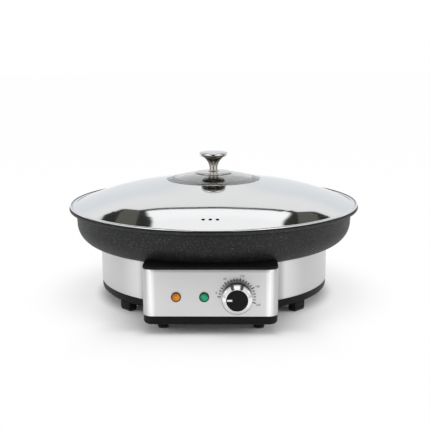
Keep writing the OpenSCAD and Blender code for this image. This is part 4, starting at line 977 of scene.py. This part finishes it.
# Above the backdrop's edge: a dark gap, then the softbox between its flags and
# the pale walls beyond them.
softbox = 1 - (tilt - 0.325 - 0.06 * (1 - steep.rise(0.95, 0.2))).rise(0, 0.012)
flags = 0.035 + 0.09 * tilt.rise(0.42, 0.008) * (1 - tilt.rise(0.57, 0.01))
beyond = tilt.rise(0.71, 0.02)
flag_tone = sky.node("CombineColor", {}, {0: flags, 1: flags, 2: flags * 0.88})
box_tone = even(sky, 1.29 - 0.07 * steep.rise(1.12, 0.08))
upper_tone = blend(sky, softbox, blend(sky, beyond, flag_tone, grey(0.93)), box_tone)
gap_tone = blend(sky, beyond, grey(0.03), grey(0.93))
above_edge = blend(sky, over_edge.rise(0.05, 0.006), gap_tone, upper_tone)

# Below it: the backdrop on the far side, and lit walls with a dark doorway on the
# camera's side.
drop_tone = blend(sky, steep.rise(0.45, 0.12), (0.88, 0.905, 0.935, 1), (1.015, 1.015, 1.01, 1))
far_side = blend(sky, swing.rise(2.4, 0.3), drop_tone, grey(0.30))
strips = 1.4 * swing.rise(0.68, 0.1) * (1 - swing.rise(1.5, 0.2))
wall_light = 1.25 + strips - 0.95 * swing.rise(5.0, 1.0) - 0.28 * steep.rise(0.33, 0.05)
doorway = (1 - swing.rise(0.26, 0.04)) * (1 - steep.rise(0.33, 0.05))
near_side = blend(sky, doorway, even(sky, wall_light), (0.075, 0.06, 0.045, 1))
below_edge = blend(sky, (0 - y).rise(0.0, 0.01), far_side, near_side)
studio = blend(sky, 1 - over_edge.rise(0, 0.005), above_edge, below_edge)

by_camera, by_gloss, by_glass = sight(sky)
tone = blend(sky, by_gloss, grey(0.52), studio)
tone = blend(sky, by_camera.at_least(by_glass), tone, grey(1))
light = sky.node("Background", {}, {"Color": tone, "Strength": 1.0})
light.feed(output(world.node_tree, "OUTPUT_WORLD").inputs["Surface"])

lamp_aim = Vector((0, 0, 0.08))
for name, spot, size, power in (("overhead_softbox", (0, 0.15, 1.5), 1.1, 8.5),
                                ("left_fill", (-1.7, -0.3, 0.45), 0.8, 11.0),
                                ("right_fill", (1.7, -0.3, 0.45), 0.8, 17.0),
                                ("front_fill", (0, -1.5, 0.25), 0.5, 2.5)):
    lamp = bpy.data.lights.new(name, "AREA")
    lamp.size = size
    lamp.energy = power
    stand = bpy.data.objects.new(name, lamp)
    stand.location = spot
    stand.rotation_euler = (lamp_aim - Vector(spot)).to_track_quat("-Z", "Y").to_euler()
    stand.visible_glossy = False
    stand.visible_camera = False
    stand.visible_transmission = False
    bpy.context.scene.collection.objects.link(stand)


# Camera: a long lens a little over a metre away, eleven degrees above the level
# of the pan, and turned by a third of a degree about its own axis.
down, aside_turn, roll = math.radians(11.19), 0.02398, math.radians(0.313)
stand_point = (0.0275, -1.1466, 0.3331)
ahead = Vector((-aside_turn * math.cos(down), math.cos(down), -math.sin(down))).normalized()
right = ahead.cross(Vector((0, 0, 1))).normalized()
above = right.cross(ahead)
right, above = (right * math.cos(roll) - above * math.sin(roll),
                right * math.sin(roll) + above * math.cos(roll))
eye = bpy.data.cameras.new("camera")
eye.sensor_width = 36
eye.lens = 69.4
eye.shift_x = 0.0029
eye.clip_start = 0.01
eye.dof.use_dof = False
camera = bpy.data.objects.new("camera", eye)
camera.matrix_world = Matrix.Translation(stand_point) @ Matrix((
    (right.x, above.x, -ahead.x, 0), (right.y, above.y, -ahead.y, 0),
    (right.z, above.z, -ahead.z, 0), (0, 0, 0, 1)))
bpy.context.scene.collection.objects.link(camera)
bpy.context.scene.camera = camera
bpy.context.scene.view_settings.view_transform = "Standard"
